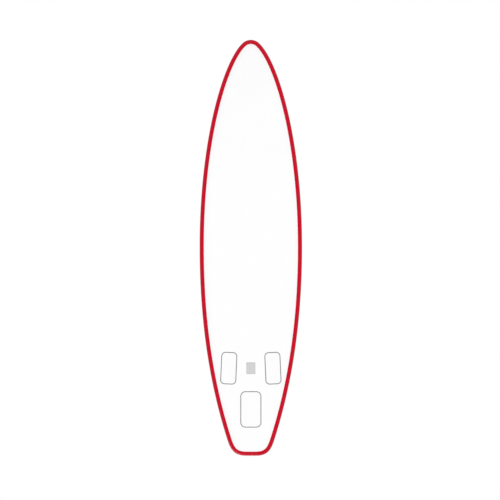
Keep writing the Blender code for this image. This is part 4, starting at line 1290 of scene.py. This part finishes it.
def push_button():
    """The stem: a button on top that is pushed to let air out, and a foot under the seat."""
    profile = [
        (0.0, BUTTON_TOP),
        (BUTTON_FLAT_RADIUS, BUTTON_TOP),
        (BUTTON_RADIUS, BUTTON_TOP - BUTTON_SLOPE),
        (BUTTON_RADIUS, BUTTON_BOTTOM),
        (STEM_RADIUS, BUTTON_BOTTOM),
        (STEM_RADIUS, FOOT_TOP),
        (FOOT_RADIUS, FOOT_TOP),
        (FOOT_RADIUS, FOOT_BOTTOM),
        (0.0, FOOT_BOTTOM),
    ]
    bm = turned(profile, False, BUTTON_STEPS)
    valve_piece("push_button", bm, "button", "valve_stem", "valve_stem", MOULDED_EDGE)


def spring():
    """The coil between the spider and the button, which shortens as the button goes down."""
    steps = round(SPRING_TURNS * SPRING_STEPS)
    rise = (SPRING_LENGTH - SPRING_WIRE) / steps
    points = []
    for i in range(steps + 1):
        angle = 2 * math.pi * i / SPRING_STEPS
        height = SPRING_BOTTOM + SPRING_WIRE / 2 + rise * i
        points.append((SPRING_RADIUS * math.cos(angle), SPRING_RADIUS * math.sin(angle), height))
    place = Matrix.Translation(valve_place())
    coil = wire_piece("wire_spring", points, SPRING_WIRE / 2, False, place, "board", "valve_spring")
    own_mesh(coil)


def valve_cap():
    """The cap: a scalloped rim to hold, a dished top, and a plug that goes into the throat."""
    profile = [
        *[(radius, CAP_TOP - depth) for radius, depth in CAP_OUTSIDE],
        (CAP_RADIUS, CAP_SKIRT_BOTTOM + CAP_FOOT_RISE),
        (CAP_RADIUS - CAP_FOOT_IN, CAP_SKIRT_BOTTOM),
        (CAP_SKIRT_INNER, CAP_SKIRT_BOTTOM),
        (CAP_SKIRT_INNER, CAP_UNDER),
        (PLUG_OUTER, CAP_UNDER),
        (PLUG_OUTER, CAP_SKIRT_BOTTOM),
        (PLUG_INNER, CAP_SKIRT_BOTTOM),
        (PLUG_INNER, CAP_ROOF_UNDER),
        (0.0, CAP_ROOF_UNDER),
    ]
    bm = turned(profile, False, 8 * CAP_SCALLOPS)
    for vert in bm.verts:
        across = vert.co.xy.length
        if across > CAP_RADIUS - CAP_SCALLOPS_FROM_SIDE and vert.co.z < CAP_TOP - CAP_SCALLOPS_BELOW:
            angle = math.atan2(vert.co.y, vert.co.x)
            dip = CAP_SCALLOP_HALF_DEPTH * (1 - math.cos(CAP_SCALLOPS * angle))
            vert.co.xy *= (across - dip) / across
    start = (CAP_RADIUS + CAP_SKIRT_INNER) / 2
    side = arc((-TETHER_REACH, CAP_HINGE_HEIGHT), CAP_HINGE_RADIUS, 90, 270, CAP_HINGE_STEPS)
    side += [(-start, CAP_HINGE_HEIGHT - CAP_HINGE_RADIUS), (-start, CAP_HINGE_HEIGHT + CAP_HINGE_RADIUS)]
    upright_plate(bm, side, TETHER_WIDTH)
    valve_piece("screw_cap", bm, "cap", "valve_cap", "valve_cap", MOULDED_EDGE)


def tether():
    """The strap that keeps the cap: a loose ring round the neck and a tab out to the cap's hinge."""
    inner = NECK_RADIUS + LAP_GAP
    bm = flat_ring(TETHER_RADIUS, inner, TETHER_BOTTOM, TETHER_TOP)
    start = (TETHER_RADIUS + inner) / 2
    top = CAP_HINGE_HEIGHT - CAP_HINGE_RADIUS - LAP_GAP
    near = CAP_HINGE_RADIUS - TETHER_REACH
    end = -TETHER_REACH - CAP_HINGE_RADIUS
    # The tab's faces lie just inside the ring's, so that none share a plane
    low = TETHER_BOTTOM + JOIN_STEP
    high = TETHER_TOP - JOIN_STEP
    side = [(-start, low), (-start, high), (near, high), (near, top), (end, top), (end, low)]
    upright_plate(bm, side, TETHER_WIDTH)
    valve_piece("cap_tether", bm, "valve", "valve_tether", "valve_tether", MOULDED_EDGE)


def gasket():
    """The rubber ring between the flange and the deck, finely cut so that its edge is an even line."""
    bm = flat_ring(GASKET_RADIUS, SLEEVE_RADIUS + LAP_GAP, LAP_GAP, GASKET_TOP)
    valve_piece("flange_gasket", bm, "rubber", "board", "valve_gasket", GASKET_EDGE)


def valve():
    """All of the inflation valve's pieces that show."""
    valve_housing()
    gasket()
    push_button()
    spring()
    valve_cap()
    tether()


def dress_frame_nodes():
    """Finishes for the CAD's own pieces that stay."""
    for node, finish in (
        ("drop_stitch_core", "raw"),
        ("side_wall_starboard", "raw"),
        ("side_wall_port", "raw"),
        ("valve_nut", "valve"),
        ("valve_seal_disc", "rubber"),
        ("valve_spring_washer", "steel"),
        ("valve_cap_seal", "rubber"),
    ):
        mesh = frame["nodes"][node].data
        mesh.materials.clear()
        mesh.materials.append(FINISH[finish])


# Stage


def floor():
    """A pale floor that only shows from above, so that the board can be looked at from below."""
    bm = bmesh.new()
    bmesh.ops.create_circle(bm, cap_ends=True, segments=ROUND_STEPS, radius=FLOOR_RADIUS)
    bmesh.ops.translate(bm, verts=bm.verts, vec=(0, 0, -FLOOR_BELOW))
    mesh = bpy.data.meshes.new("floor")
    bm.to_mesh(mesh)
    bm.free()
    made = put("floor", mesh)
    surface, tree, shader = finish_of("matt pale studio floor", FLOOR_TONE, 0.9, {"Emission Strength": 1.0})
    # Half of the floor's light is its own glow, from emission, and a painted contact shadow from ambient
    # occlusion darkens it softly under what stands on it
    shade = {"Color": linear(FLOOR_TONE), "Distance": FLOOR_SHADE_REACH}
    painted_contact_shadow = add(tree, "ShaderNodeAmbientOcclusion", shade).outputs["Color"]
    tree.links.new(painted_contact_shadow, shader.inputs["Base Color"])
    tree.links.new(painted_contact_shadow, shader.inputs["Emission Color"])
    output = tree.nodes["Material Output"]
    back = add(tree, "ShaderNodeNewGeometry").outputs["Backfacing"]
    far = add(tree, "ShaderNodeVectorMath", {0: places(tree)}, operation="LENGTH").outputs["Value"]
    ends = {"Value": far, "From Min": FLOOR_FADE_FROM, "From Max": FLOOR_FADE_TO}
    fade = add(tree, "ShaderNodeMapRange", ends, interpolation_type="SMOOTHSTEP").outputs[0]
    unseen = maths(tree, "MAXIMUM", back, fade)
    clear = add(tree, "ShaderNodeBsdfTransparent").outputs[0]
    mix = add(tree, "ShaderNodeMixShader", {0: unseen, 1: shader.outputs[0], 2: clear})
    tree.links.new(mix.outputs[0], output.inputs["Surface"])
    mesh.materials.append(surface)
    made.visible_shadow = False
    made.visible_diffuse = False
    made.visible_glossy = False


def studio_light():
    """A bright room on all sides, and two wide soft suns, one from below and one from above."""
    world = bpy.data.worlds.new("studio")
    bpy.context.scene.world = world
    world.use_nodes = True
    tree = world.node_tree
    room = tree.nodes["Background"]
    room.inputs["Color"].default_value = (1, 1, 1, 1)
    ray = add(tree, "ShaderNodeLightPath").outputs
    way = add(tree, "ShaderNodeTexCoord").outputs["Generated"]
    upward = add(tree, "ShaderNodeSeparateXYZ", {0: way}).outputs["Z"]
    turning = {"Value": upward, "From Min": -ROOM_TURNS_OVER, "From Max": ROOM_TURNS_OVER}
    lit = add(tree, "ShaderNodeMapRange", {**turning, "To Min": ROOM_BELOW, "To Max": ROOM_ABOVE}).outputs[0]
    share = maths(tree, "MULTIPLY_ADD", ray["Is Glossy Ray"], -ROOM_LOSS_IN_GLOSS, 1.0)
    seen = maths(tree, "MAXIMUM", maths(tree, "MULTIPLY", lit, share), ray["Is Camera Ray"])
    tree.links.new(seen, room.inputs["Strength"])
    for name, strength, tilt in SUNS:
        light = bpy.data.lights.new(name, "SUN")
        light.energy = strength
        light.angle = math.radians(SUN_WIDTH_DEG)
        put(name, light).rotation_euler = tilt
    bpy.context.scene.view_settings.view_transform = "Standard"


def camera():
    """The photograph's view: straight up at the bottom, nose to the top of the frame."""
    metres_per_pixel = BOARD_LENGTH / PHOTO_BOARD_LENGTH
    seen = bpy.data.cameras.new("camera")
    seen.type = "ORTHO"
    seen.ortho_scale = PHOTO_SIDE * metres_per_pixel
    made = put("camera", seen)
    made.rotation_euler = (0, math.pi, 0)
    across, along = [pixels * metres_per_pixel for pixels in PHOTO_OFF_MIDDLE]
    made.location = (across, along, CAMERA_HEIGHT)
    bpy.context.scene.camera = made


camera()
hull()
bottom_fittings()
deck_pad()
handle()
for stem, turn_deg in RINGS:
    dring_anchor(stem, turn_deg)
valve()
dress_frame_nodes()
floor()
studio_light()
